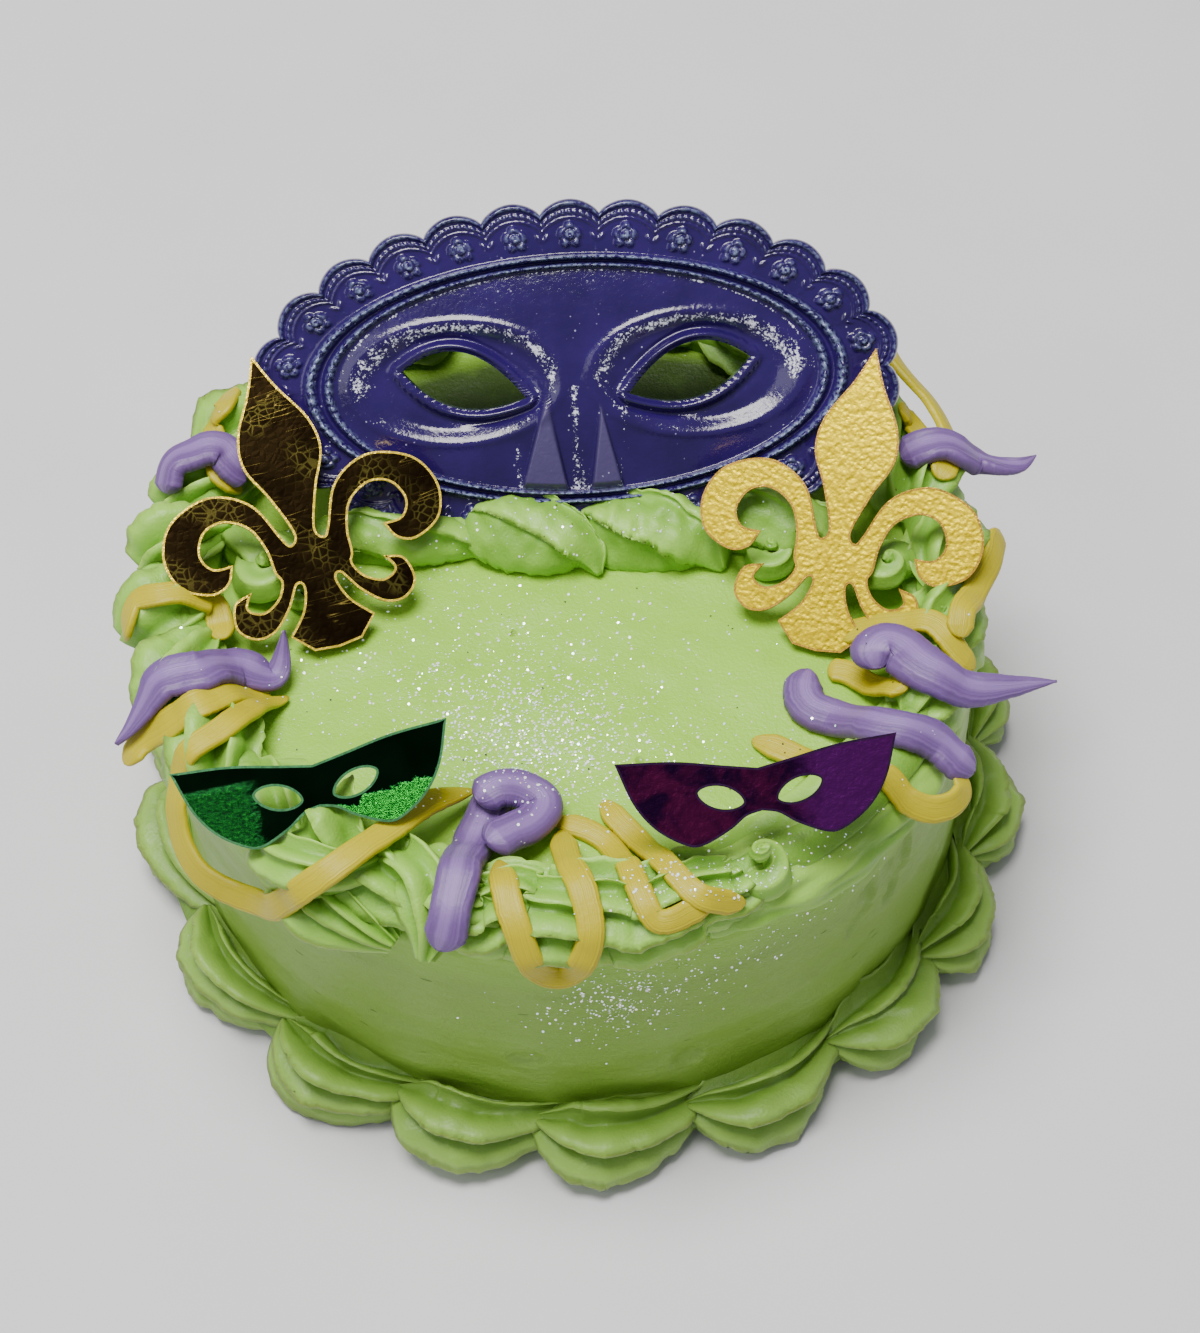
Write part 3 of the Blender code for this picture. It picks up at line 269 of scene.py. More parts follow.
# Colours, as linear red, green and blue
# The next three pairs: icing colour, then the deep colour painted into creases as painted shade
GREEN = ((0.30, 0.56, 0.078), (0.13, 0.32, 0.020))
FOOT_GREEN = ((0.27, 0.455, 0.080), (0.095, 0.21, 0.016))
# Mound behind the plaque, painted dark as painted shade
SHADED_GREEN = ((0.10, 0.20, 0.025), (0.045, 0.10, 0.010))
TOP_GREEN = ((0.29, 0.56, 0.042), (0.26, 0.52, 0.034))
# Wall colour, darker than the top: painted shade
WALL_PAINTED_SHADE = (0.215, 0.38, 0.048)
# Dark green for the painted shadow beneath the plaque
PAINTED_SHADOW_GREEN = (0.030, 0.060, 0.008)
STROKE_GREEN = (0.20, 0.38, 0.030)
# Darker green for the nicks in the wall: painted shade
NICK_SHADE_GREEN = (0.10, 0.20, 0.015)
YELLOW_ICING = ((0.50, 0.425, 0.004), (0.40, 0.335, 0.003))
PURPLE_ICING = ((0.165, 0.090, 0.275), (0.115, 0.060, 0.20))
INDIGO = ((0.012, 0.0048, 0.056), (0.020, 0.0075, 0.092))
# Lighter indigo for the nose facets: painted reflection
FACET_REFLECTION_INDIGO = (0.055, 0.040, 0.120)
WORN_INDIGO = (0.20, 0.25, 0.40)
# Near-white for the painted glints on the plaque
GLINT_WHITE = (0.80, 0.80, 0.98)
PALE_SPECK = (0.45, 0.42, 0.65)
DARK_SPECK = ((0.012, 0.014, 0.01), (0.03, 0.028, 0.02))
# Left fleur: gold foil painted black-brown as a painted dark reflection
DARK_REFLECTION_GOLD = ((0.012, 0.007, 0.003), (0.032, 0.020, 0.007))
TARNISH = (0.20, 0.17, 0.035)
GOLD_HAIR = (0.45, 0.33, 0.07)
BRIGHT_GOLD = ((0.36, 0.265, 0.0003), (0.30, 0.215, 0.0002))
GOLD_GRAIN = (0.45, 0.345, 0.001)
GREEN_MIRROR = ((0.0015, 0.009, 0.003), (0.004, 0.022, 0.008))
GREEN_LOBE = (0.008, 0.085, 0.012)
GREEN_BAND = (0.02, 0.30, 0.03)
MAROON = ((0.028, 0.004, 0.042), (0.13, 0.009, 0.07))
VIOLET = (0.15, 0.012, 0.19)
EDGES = {"gold_edge": (0.95, 0.68, 0.06), "green_edge": (0.10, 0.35, 0.14),
         "purple_edge": (0.05, 0.012, 0.07), "brown_edge": (0.42, 0.24, 0.02)}
PALE_FLOOR = ((0.645, 0.63, 0.655), (0.615, 0.60, 0.625))

# Light that goes a little way into the icing
SOFT = {"Subsurface_Weight": 0.25, "Subsurface_Scale": 0.0012,
        "Subsurface_Radius": (1.0, 1.0, 0.4), "Specular_IOR_Level": 0.38}
# Painted shadow on the top beneath the leaning plaque: 29 by 11 mm about (2, 25)
PAINTED_SHADOW_PATCH = {"Location": (-2 / 29, -25 / 11, 0), "Scale": (1000 / 29, 1000 / 11, 0)}

LEVEL = np.array([1, 1, 0])
UP = np.array([0, 0, 1.0])

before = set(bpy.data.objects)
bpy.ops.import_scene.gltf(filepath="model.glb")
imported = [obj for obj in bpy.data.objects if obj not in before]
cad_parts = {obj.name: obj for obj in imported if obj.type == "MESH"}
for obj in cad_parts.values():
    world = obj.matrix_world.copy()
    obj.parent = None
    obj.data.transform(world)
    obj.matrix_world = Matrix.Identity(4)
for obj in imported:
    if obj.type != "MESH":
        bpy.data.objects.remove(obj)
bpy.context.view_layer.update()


def unit(v):
    v = np.asarray(v, float)
    return v / np.maximum(np.linalg.norm(v, axis=-1, keepdims=True), 1e-9)


def polar(azimuth, radius, height):
    a = np.radians(azimuth)
    return np.stack(np.broadcast_arrays(radius * np.cos(a), radius * np.sin(a), height), -1)


def ripple(points, size, seed, waves=18):
    """Smooth noise of about -1 to 1 whose bumps are about size millimetres apart."""
    dice = np.random.default_rng(seed)
    points = np.asarray(points, float)
    total = np.zeros(points.shape[:-1])
    for _ in range(waves):
        way = unit(dice.normal(size=points.shape[-1])) * 2 * np.pi / size
        way *= dice.uniform(0.6, 1.5)
        total += np.sin(points @ way + dice.uniform(0, 2 * np.pi))
    return total / np.sqrt(waves)


def spline(points, per_span):
    """Catmull-Rom curve through the points."""
    p = [np.array(q, float) for q in points]
    p = [2 * p[0] - p[1]] + p + [2 * p[-1] - p[-2]]
    curve = []
    for a, b, c, d in zip(p, p[1:], p[2:], p[3:]):
        for t in np.arange(per_span) / per_span:
            curve.append(0.5 * (2 * b + (c - a) * t + (2 * a - 5 * b + 4 * c - d) * t ** 2
                                + (3 * b - a - 3 * c + d) * t ** 3))
    curve.append(p[-2])
    return np.array(curve)


def resample(path, count):
    """The same path with points at equal steps along it."""
    steps = np.linalg.norm(np.diff(path[:, :3], axis=0), axis=1)
    length = np.append(0, np.cumsum(steps))
    even = np.linspace(0, length[-1], count)
    return np.stack([np.interp(even, length, column) for column in path.T], axis=-1)


def growth(u, stops):
    """Smooth curve through evenly spaced stops."""
    fine = spline([(x, y) for x, y in zip(np.linspace(0, 1, len(stops)), stops)], 12)
    return np.interp(u, fine[:, 0], fine[:, 1])


class Shape:
    """Points and faces gathered into one mesh, with a value called hollow at each point."""

    def __init__(self):
        self.points, self.faces, self.hollow, self.count = [], [], [], 0

    def add(self, points, faces, hollow=0.0):
        points = np.asarray(points, float).reshape(-1, 3)
        self.points.append(points)
        for group in faces:
            self.faces += (np.asarray(group) + self.count).tolist()
        self.hollow.append(np.broadcast_to(np.asarray(hollow, float).ravel(), len(points)))
        self.count += len(points)

    def sheet(self, rings, closed=False, hollow=0.0):
        """Tube through rings, with a point at each end unless it is closed."""
        rings = np.asarray(rings, float)
        count, sides = rings.shape[:2]
        i = np.arange(count if closed else count - 1)[:, None]
        j = np.arange(sides)[None, :]
        after, beside = (i + 1) % count, (j + 1) % sides
        quads = np.stack(np.broadcast_arrays(i * sides + j, i * sides + beside,
                                             after * sides + beside, after * sides + j), -1)
        faces = [quads.reshape(-1, 4)]
        points = rings.reshape(-1, 3)
        values = np.broadcast_to(hollow, rings.shape[:2]).ravel()
        if not closed:
            ends = rings[[0, -1]].mean(axis=1)
            k = np.arange(sides)
            for hub, row in enumerate((0, count - 1)):
                faces.append(np.column_stack([row * sides + k, row * sides + (k + 1) % sides,
                                              np.full(sides, count * sides + hub)]))
            points = np.vstack([points, ends])
            values = np.append(values, [values[0], values[-1]])
        self.add(points, faces, values)

    def make(self, name, material, *nodes, slot=None, turn=True):
        points = np.vstack(self.points)
        mesh = bpy.data.meshes.new(name)
        mesh.from_pydata((points * MM).tolist(), [], self.faces)
        store(mesh, "hollow", np.concatenate(self.hollow))
        thing = put(name, mesh)
        if turn:
            face_outwards(mesh)
        mesh.shade_smooth()
        mesh.materials.append(material)
        return belong(thing, slot, *nodes)


def put(name, data):
    thing = bpy.data.objects.new(name, data)
    bpy.context.scene.collection.objects.link(thing)
    return thing


def store(mesh, name, values):
    mesh.attributes.new(name, "FLOAT", "POINT").data.foreach_set("value", np.asarray(values, "f"))


def face_outwards(mesh):
    shape = bmesh.new()
    shape.from_mesh(mesh)
    bmesh.ops.recalc_face_normals(shape, faces=shape.faces)
    shape.to_mesh(mesh)
    shape.free()


def belong(thing, slot, *nodes):
    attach(thing, "root")
    if nodes:
        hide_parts(*nodes)
    return thing


class Look:
    """A material being wired: each call adds a node and gives the socket it ends in."""

    def __init__(self, name, **constants):
        self.material = bpy.data.materials.new(name)
        self.material.use_nodes = True
        self.tree = self.material.node_tree
        self.shader = self.tree.nodes["Principled BSDF"]
        for socket, value in constants.items():
            self.shader.inputs[socket.replace("_", " ")].default_value = value
        self.place = self.add("ShaderNodeTexCoord", "Object")

    def add(self, kind, output=0, inputs=None, **settings):
        node = self.tree.nodes.new(kind)
        for key, value in settings.items():
            setattr(node, key, value)
        for key, value in (inputs or {}).items():
            self.plug(node.inputs[key], value)
        return node.outputs[output]

    def plug(self, socket, value):
        if isinstance(value, bpy.types.NodeSocket):
            self.tree.links.new(value, socket)
        else:
            socket.default_value = value

    def value(self, name):
        return self.add("ShaderNodeAttribute", "Fac", attribute_name=name)

    def noise(self, size, detail=3.0, rough=0.55, place=None, twist=0.0):
        """Noise whose bumps are about size millimetres apart."""
        return self.add("ShaderNodeTexNoise", "Fac", {
            "Vector": place or self.place, "Scale": 1 / (size * MM), "Detail": detail,
            "Roughness": rough, "Distortion": twist})

    def cells(self, size, feature="F1", output="Distance", place=None):
        return self.add("ShaderNodeTexVoronoi", output, {
            "Vector": place or self.place, "Scale": 1 / (size * MM)}, feature=feature)

    def stretched(self, x=1.0, y=1.0, z=1.0):
        return self.add("ShaderNodeMapping", 0, {"Vector": self.place, "Scale": (x, y, z)})

    def calc(self, operation, *values):
        return self.add("ShaderNodeMath", 0, dict(enumerate(values)), operation=operation)

    def plus(self, a, b):
        return self.calc("ADD", a, b)

    def less(self, a, b=0.5):
        return self.calc("SUBTRACT", a, b)

    def times(self, a, b):
        return self.calc("MULTIPLY", a, b)

    def span(self, value, low, high):
        """0 at low to 1 at high, and level beyond them."""
        return self.add("ShaderNodeMapRange", 0, {"Value": value, "From Min": low,
                                                  "From Max": high})

    def mix(self, amount, a, b):
        return self.add("ShaderNodeMix", 2, {0: amount, 6: (*a, 1) if isinstance(a, tuple) else a,
                                             7: (*b, 1) if isinstance(b, tuple) else b},
                        data_type="RGBA")

    def mottle(self, pair, size, low, high, *kind):
        """Colour that drifts between a pair, over noise from low to high."""
        return self.mix(self.span(self.noise(size, *kind), low, high), *pair)

    def over(self, colour, other, amount, share):
        """The colour with share of another laid over it where amount is 1."""
        return self.mix(self.times(amount, share), colour, other)

    def bump(self, height, depth, under=None):
        """Relief from height, depth in millimetres from its 0 to its 1."""
        inputs = {"Height": height, "Strength": 1.0, "Distance": depth * MM}
        if under is not None:
            inputs["Normal"] = under
        return self.add("ShaderNodeBump", 0, inputs)

    def end(self, colour=None, roughness=None, normal=None, metallic=None):
        for name, value in (("Base Color", colour), ("Roughness", roughness),
                            ("Normal", normal), ("Metallic", metallic)):
            if value is not None:
                self.plug(self.shader.inputs[name], value)
        return self.material


def icing(name, pale, deep):
    """Icing with painted shade deepening its folds, fine grain, smears and a few air holes painted
    darker as painted shade.
    """
    look = Look(name, **SOFT)
    drift = look.less(look.noise(9, 3))
    fine = look.noise(2.2, 4, 0.6)
    # The deep colour follows the hollow value: painted shade in the creases and between shells
    amount = look.calc("MULTIPLY_ADD", look.value("hollow"), 0.8, -0.08)
    amount = look.plus(amount, look.times(drift, 0.5))
    colour = look.mix(look.span(amount, 0.0, 1.0), pale, deep)
    # Air holes, painted darker as painted shade inside each pit
    holes = look.less(1.0, look.span(look.cells(2.6), 0.035, 0.06))
    pit = look.times(holes, look.span(look.noise(5.5, 1), 0.60, 0.62))
    colour = look.over(colour, tuple(c * 0.45 for c in deep), pit, 0.55)
    normal = look.bump(look.plus(look.times(fine, 0.7), look.noise(0.35, 2)), 0.07)
    normal = look.bump(look.less(1.0, pit), 0.12, normal)
    gloss = look.span(look.noise(3.0, 3), 0.2, 0.8)
    return look.end(colour, look.calc("MULTIPLY_ADD", gloss, 0.16, 0.36), normal)


def wall_icing():
    """Smoothed icing: level strokes round the wall, small nicks painted darker as painted shade, a
    bright even top; the wall is painted darker than the top as painted shade, and a painted shadow
    lies on the top beneath the plaque.
    """
    look = Look("smoothed_icing", **SOFT)
    colour = look.mottle(TOP_GREEN, 10, 0.25, 0.75, 4)
    height = look.add("ShaderNodeSeparateXYZ", 0, {0: look.place}).node.outputs[2]
    # Below the top edge the wall takes a darker green: painted shade
    colour = look.mix(look.span(height, 0.036, 0.028), colour, WALL_PAINTED_SHADE)
    # Painted shadow: the top darkens inside an oval beneath the plaque
    under = look.add("ShaderNodeVectorMath", 1, {
        0: look.add("ShaderNodeMapping", 0, {"Vector": look.place, **PAINTED_SHADOW_PATCH})},
        operation="LENGTH")
    colour = look.over(colour, PAINTED_SHADOW_GREEN, look.span(under, 1.0, 0.75), 0.9)
    strokes = look.noise(4.5, 5, 0.6, look.stretched(1, 1, 5), 0.4)
    colour = look.over(colour, STROKE_GREEN, look.span(strokes, 0.55, 0.8), 0.3)
    # Nicks in the wall, painted darker as painted shade
    nick = look.span(look.cells(6.5, place=look.stretched(1, 1, 4.5)), 0.05, 0.10)
    nick = look.times(look.less(1.0, nick), look.span(look.noise(7, 1), 0.5, 0.52))
    colour = look.over(colour, NICK_SHADE_GREEN, nick, 0.6)
    normal = look.bump(look.plus(look.times(strokes, 1.6), look.noise(0.4, 2)), 0.09)
    return look.end(colour, 0.46, look.bump(look.less(1.0, nick), 0.25, normal))


def ribbon_icing(name, pale, deep, stripe):
    """Piped ribbon icing: strokes along its length from the nozzle."""
    look = Look(name, Subsurface_Weight=0.2, Subsurface_Scale=0.001,
                Subsurface_Radius=(1.0, 0.8, 0.4), Specular_IOR_Level=0.4)
    across = look.value("hollow")
    strokes = look.plus(look.times(across, 3.0), look.times(look.noise(3, 2), 0.5))
    wavy = look.add("ShaderNodeTexNoise", "Fac", {"W": strokes, "Scale": 5.0, "Detail": 3.0},
                    noise_dimensions="1D")
    colour = look.mix(look.span(wavy, 0.25, 0.75), deep, pale)
    colour = look.over(colour, deep, look.span(look.noise(2.2, 3), 0.5, 0.75), 0.35)
    middle = look.span(look.calc("ABSOLUTE", look.less(across, 0.45)), 0.2, 0.1)
    colour = look.over(colour, tuple(min(1.0, c * 1.5 + 0.06) for c in pale), middle, stripe)
    relief = look.plus(wavy, look.times(look.noise(0.5, 3), 0.7))
    return look.end(colour, 0.45, look.bump(relief, 0.07))


def piped(shape, path, outward, girth, ridges, depth, per_ridge=10, hook=0.2, twist=0.0,
          phase=0.0, seed=0, floor=None, rough=0.03, uneven=0.12):
    """Star-piped icing along a path: sharp ridges that lean over the hollows between them."""
    dice = np.random.default_rng(seed)
    along = unit(np.gradient(path, axis=0))
    out = unit(outward - along * (outward * along).sum(axis=1, keepdims=True))
    side = np.cross(along, out)
    cell = np.arange(ridges * per_ridge) / per_ridge
    t = cell % 1.0 * 2 - 1
    # hollow is 1 in each crease between ridges, where the icing takes its painted shade
    hollow = 1 - np.abs(t) ** 1.8
    start = cell.astype(int)
    swell = 1 + dice.uniform(-uneven, uneven, ridges)
    swell = swell[start] * (1 - t) / 2 + swell[(start + 1) % ridges] * (1 + t) / 2
    cut = depth * (1 + dice.uniform(-0.25, 0.25, ridges))[start]
    radius = swell * (1 - cut * hollow)
    bend = (cell + phase) * 2 * np.pi / ridges + hook * np.abs(t) ** 3 * 2 * np.pi / ridges
    bend = bend[None, :] + np.broadcast_to(twist, len(path))[:, None]
    size = girth[:, None] * radius[None, :]
    rings = (path[:, None] + (size * np.cos(bend))[..., None] * out[:, None]
             + (size * np.sin(bend))[..., None] * side[:, None])
    lump = 1.5 * ripple(rings, 6.0, seed + 2) + 0.8 * ripple(rings, 2.6, seed + 3)
    torn = ripple(rings, 0.9, seed + 1) * np.abs(t) ** 4
    push = rough * (lump + torn * 0.45) * girth[:, None]
    rings += push[..., None] * unit(rings - path[:, None])
    if floor is not None:
        low = rings[..., 2] < floor
        rings[..., 2] = np.where(low, floor + 0.02 * (rings[..., 2] - floor), rings[..., 2])
    shape.sheet(rings, hollow=np.clip(hollow, 0, 1))


def base_border(material):
    shape = Shape()
    u = np.linspace(0, 1, 48)
    s = u - 0.46
    for k, (azimuth, length, girth) in enumerate(BASE_SHELLS):
        per_mm = 180 / (np.pi * BASE_LINE_RADIUS)
        radius = BASE_LINE_RADIUS + 2.3 * (np.cos(np.pi * (s + 0.12)) - 0.75)
        radius -= 1.5 * hump(azimuth - 192, 26)
        height = BASE_LINE_HEIGHT + 4.2 * np.maximum(0, -s - 0.22)
        path = polar(azimuth + s * length * 1.12 * per_mm, radius, height)
        outward = path * LEVEL + UP * 32.0
        twist = radians(34) * (u - 0.35)
        piped(shape, path, outward, 1.05 * girth * growth(u, SHELL_GROWTH),
              7 if 250 < azimuth < 325 else 9, 0.46, 12, 0.36, twist, 0.15 * k, 10 + k, 0.0, 0.035)
    core(shape, (45.6, 2.4), (2.0, 2.0), (20, 90, 160, 230, 310))
    return shape.make("base_shells", material, "base_border", slot="green_icing")


def core(shape, middle, half, corners):
    """Plain ring inside a border that fills the gaps between its shells."""
    turn = np.radians(corners)
    rings = [polar(azimuth, middle[0] + half[0] * np.cos(turn),
                   middle[1] + half[1] * np.sin(turn)) for azimuth in np.arange(120) * 3.0]
    # The whole ring takes the deep colour: painted shade in the gaps between the shells
    shape.sheet(rings, closed=True, hollow=1.0)


def top_surface(radius):
    beyond = radius - TOP_LINE_RADIUS
    return TOP_LINE_HEIGHT + TOP_CREST - 0.055 * beyond * np.abs(beyond) - 0.035 * beyond ** 2


def swirl(shape, centre, radius, height, seed):
    """Small piped swirl that winds in and up to a soft tip."""
    u = np.linspace(0, 1, 44)
    turn = 2 * np.pi * (1.35 * u + seed * 0.37)
    reach = radius * 0.55 * (1 - u) ** 0.8
    path = np.array(centre) + np.stack([reach * np.cos(turn), reach * np.sin(turn),
                                        height * u ** 1.2], axis=-1)
    girth = radius * (0.55 - 0.40 * u ** 1.6) * np.minimum(1, 0.4 + u * 9)
    outward = path - np.array(centre) + UP * 3.0
    piped(shape, path, outward, girth, 5, 0.16, 9, 0.1, 0.0, 0.2, 60 + seed)


def top_border(material):
    shape = Shape()
    u = np.linspace(0, 1, 40)
    for k, (azimuth, heading, length, girth) in enumerate(TOP_SHELLS):
        along = (u - 0.45) * length * 1.1
        swing = along * sin(radians(heading))
        swing = np.where(swing > 0, swing * 0.72, swing * 0.55)
        per_mm = 180 / (np.pi * TOP_LINE_RADIUS)
        radius = TOP_LINE_RADIUS + swing
        path = polar(azimuth + along * cos(radians(heading)) * per_mm, radius,
                     top_surface(radius) - 1.9)
        outward = unit(path * LEVEL) * 0.55 + UP
        fan = heading > 34
        tip = growth(u, FAN_GROWTH if fan else SHELL_GROWTH)
        twist = radians(12 if fan else 36) * (u - 0.4)
        piped(shape, path, outward, girth * tip, 8, 0.40 if fan else 0.36, 8, 0.22, twist,
              0.23 * k, 30 + k, None, 0.035)
    azimuths = np.linspace(*FRONT_RUN, 150)
    path = polar(azimuths, TOP_LINE_RADIUS + 0.1 + 0.45 * np.sin(azimuths * 0.5),
                 TOP_LINE_HEIGHT - 0.3 + 0.25 * np.sin(azimuths * 0.9))
    outward = unit(path * LEVEL) + UP * 0.9
    fade = np.sin(np.linspace(0.13, 0.90, 150) * np.pi) ** 0.45
    piped(shape, path, outward, 5.4 * fade, 10, 0.30, 10, 0.30,
          radians(16) * np.sin(azimuths * 0.21), 0.0, 50, None, 0.03)
    smear(shape)
    for k, (girth, ridges, way) in enumerate(LOOSE_SHELLS):
        path = resample(spline(way, 12), 44)
        outward = path * LEVEL / TOP_LINE_RADIUS + UP * 0.8
        piped(shape, path, outward, girth * growth(np.linspace(0, 1, 44), SHELL_GROWTH), ridges,
              0.34, 10, 0.25, radians(50) * (np.linspace(0, 1, 44) - 0.5), 0.3 * k, 150 + k,
              None, 0.02)
    for k, (centre, radius, height) in enumerate(SWIRLS):
        swirl(shape, centre, radius, height, k)
    core(shape, (40.2, 38.0), (3.4, 3.0), (30, 90, 150, 210, 330))
    return shape.make("top_shells", material, "top_border", slot="green_icing")


def smear(shape):
    """Low rim where the border was pressed flat, scored along its length."""
    azimuths = np.linspace(*SMEAR_RUN, 150)
    fade = np.sin(np.linspace(0.10, 0.92, 150) * np.pi) ** 0.3
    section = spline([(-1.0, -0.4), (-0.72, 0.62), (-0.2, 1.0), (0.35, 0.78), (0.8, 0.1),
                      (0.95, -0.9), (0.0, -1.6), (-1.0, -0.4)], 9)[:-1]
    rings = []
    for azimuth, size in zip(azimuths, fade):
        rings.append(polar(azimuth, TOP_LINE_RADIUS - 0.6 + 6.0 * size * section[:, 0],
                           DRUM_HEIGHT + 0.6 + 3.0 * size * section[:, 1]))
    rings = np.array(rings)
    around = np.radians(azimuths)[:, None] * TOP_LINE_RADIUS
    lie = np.stack(np.broadcast_arrays(around * 0.35, rings[..., 2],
                                       np.hypot(rings[..., 0], rings[..., 1])), -1)
    push = 0.22 * ripple(lie, 2.0, 71) + 0.30 * ripple(lie, 5.5, 72)
    middle = rings.mean(axis=1, keepdims=True)
    rings += push[..., None] * unit(rings - middle)
    # Pressed-in scores take more of the deep colour: painted shade
    shape.sheet(rings, hollow=np.clip(0.35 - push * 1.2, 0, 1))


def drum(material):
    """The iced drum: its wall and top waver as a spatula leaves them."""
    sides, wall, flat = 480, 40, 60
    bend = np.radians(np.linspace(0, 90, 12))
    profile = [(DRUM_RADIUS - 0.4, 0.0)]
    profile += [(DRUM_RADIUS, z) for z in np.linspace(1.5, DRUM_HEIGHT - DRUM_EDGE, wall)]
    profile += [(DRUM_RADIUS - DRUM_EDGE * (1 - cos(a)), DRUM_HEIGHT - DRUM_EDGE * (1 - sin(a)))
                for a in bend[1:]]
    profile += [(r, DRUM_HEIGHT) for r in np.linspace(DRUM_RADIUS - DRUM_EDGE, 1.0, flat)[1:]]
    azimuths = np.arange(sides) * 360 / sides
    rings = np.array([polar(azimuths, r, z) for r, z in profile])
    place = rings * np.array([0.5, 0.5, 1.6])
    wave = 0.16 * ripple(place, 9, 81) + 0.06 * ripple(place, 3.0, 82)
    way = unit(np.stack([rings[..., 0], rings[..., 1], np.zeros(rings.shape[:2])], -1))
    high = (rings[..., 2] > DRUM_HEIGHT - DRUM_EDGE)[..., None]
    way = np.where(high, UP, way)
    turned = np.degrees(np.arctan2(rings[..., 1], rings[..., 0])) % 360
    for azimuth, level, long, lean in DENTS:
        across = (turned - azimuth) * DRUM_RADIUS * np.pi / 180
        slant = (rings[..., 2] - level) * cos(lean) + across * sin(lean)
        across = across * cos(lean) - (rings[..., 2] - level) * sin(lean)
        reach = np.hypot(slant / long, across / 1.5)
        wave -= 0.45 * (1 - soft_step(reach, 0.75, 1.1)) - 0.18 * hump(reach - 1.15, 0.16)
    base = (rings[..., 2] < 0.1)[..., None]
    rings += np.where(base, 0, wave[..., None] * way)
    shape = Shape()
    shape.sheet(rings)
    return shape.make("cake_coat", material, "cake_body", slot="green_icing")


def bed(material):
    """Soft overlapping shells piped along the plaque's foot, tips to the front right."""
    shape = Shape()
    for k, (girth, way) in enumerate(BED_SHELLS):
        path = resample(spline(way, 14), 64)
        u = np.linspace(0, 1, 64)
        tip = growth(u, [0.30, 0.72, 0.94, 1.0, 1.0, 0.88, 0.62, 0.10])
        piped(shape, path, np.tile(np.array([0, -0.5, 1.0]), (64, 1)), girth * tip, 4, 0.22, 18,
              0.30, radians(95) * (u - 0.3), 0.31 * k, 90 + k, 36.6, 0.05, 0.16)
    line = spline([(x, y + 1.4) for x, y in BED_LINE], 6)
    middle = np.column_stack([line, np.full(len(line), 38.2)])
    turn = np.radians(np.arange(12) * 30)
    rings = middle[:, None] + 2.5 * np.stack([np.zeros(12), np.cos(turn), np.sin(turn)], -1)
    # The core takes most of the deep colour: painted shade between the shells
    shape.sheet(rings, hollow=0.8)
    return shape.make("bed_piping", material, "mask_bed", slot="green_icing")


def prop(material):
    line = spline(PROP_LINE, 14)
    path = np.stack([line[:, 0], line[:, 1], np.full(len(line), 37.6)], axis=-1)
    shape = Shape()
    piped(shape, path, np.tile(UP, (len(line), 1)), line[:, 2] * 0.8, 8,
          0.22, 8, 0.1, 0.0, 0.1, 95, 36.6)
    # The whole mound takes the deep colour: painted shade behind the plaque
    shape.hollow[0] = np.ones(shape.count)
    return shape.make("prop_mound", material, "mask_prop", slot="green_icing")


def pose_axes(lean, turn, spin):
    lean, turn, spin = radians(lean), radians(turn), radians(spin)
    right = np.array([cos(turn), sin(turn), 0])
    back = np.array([-sin(turn) * cos(lean), cos(turn) * cos(lean), sin(lean)])
    x = right * cos(spin) + back * sin(spin)
    y = -right * sin(spin) + back * cos(spin)
    return x, y, np.cross(x, y)


def place(points, pose):
    centre, *angles = pose
    return np.array(centre) + np.asarray(points, float) @ np.array(pose_axes(*angles))


def even_ellipse(half, count):
    fine = np.linspace(0, 2 * np.pi, 2881)
    x, y = half[0] * np.cos(fine), half[1] * np.sin(fine)
    length = np.append(0, np.cumsum(np.hypot(np.diff(x), np.diff(y))))
    return np.interp(np.arange(count) / count * length[-1], length, fine)


def eye_outline(side, count):
    inner, top, outer, bottom = (np.array(p) for p in EYE_CORNERS)
    t = np.linspace(0, 1, count)[:-1, None]

    def arc(a, b, c):
        pull = 2 * b - (a + c) / 2
        return (1 - t) ** 2 * a + 2 * t * (1 - t) * pull + t ** 2 * c
    almond = np.vstack([arc(inner, top, outer), arc(outer, bottom, inner)])
    return almond if side > 0 else almond[::-1] * np.array([-1, 1])


def hump(distance, width):
    return np.exp(-(distance / width) ** 2)


def face_relief(x, y):
    """Height of the mask inside the mouldings: dome, sockets, nose facets and raised lids."""
    ratio = np.minimum(1.0, (x / FIELD_HALF[0]) ** 2 + (y / FIELD_HALF[1]) ** 2)
    height = 1.3 * (1 - ratio) ** 0.95
    height -= 0.95 * (1 - soft_step(socket_reach(x, y), 0.80, 1.12))
    height += 0.16 * hump(socket_reach(x, y) - 1.16, 0.07)
    for facet in NOSE_FACETS:
        inside, down = on_facet(x, y, facet)
        height += inside * (0.25 + 1.15 * down) * np.clip((1 - ratio) * 6, 0, 1)
    for side in (-1, 1):
        rim = eye_outline(side, 60)
        near = np.full(x.shape, 99.0)
        for px, py in rim:
            near = np.minimum(near, np.hypot(x - px, y - py))
        height += 0.80 * hump(near - 0.62, 0.46) - 0.25 * hump(near - 1.35, 0.3)
    return height


def soft_step(value, low, high):
    t = np.clip((value - low) / (high - low), 0, 1)
    return t * t * (3 - 2 * t)


def socket_reach(x, y):
    """1 on the edge of the hollow round each eye."""
    return np.hypot((np.abs(x) - SOCKET_CENTRE[0]) / SOCKET_HALF[0],
                    (y - SOCKET_CENTRE[1]) / SOCKET_HALF[1])


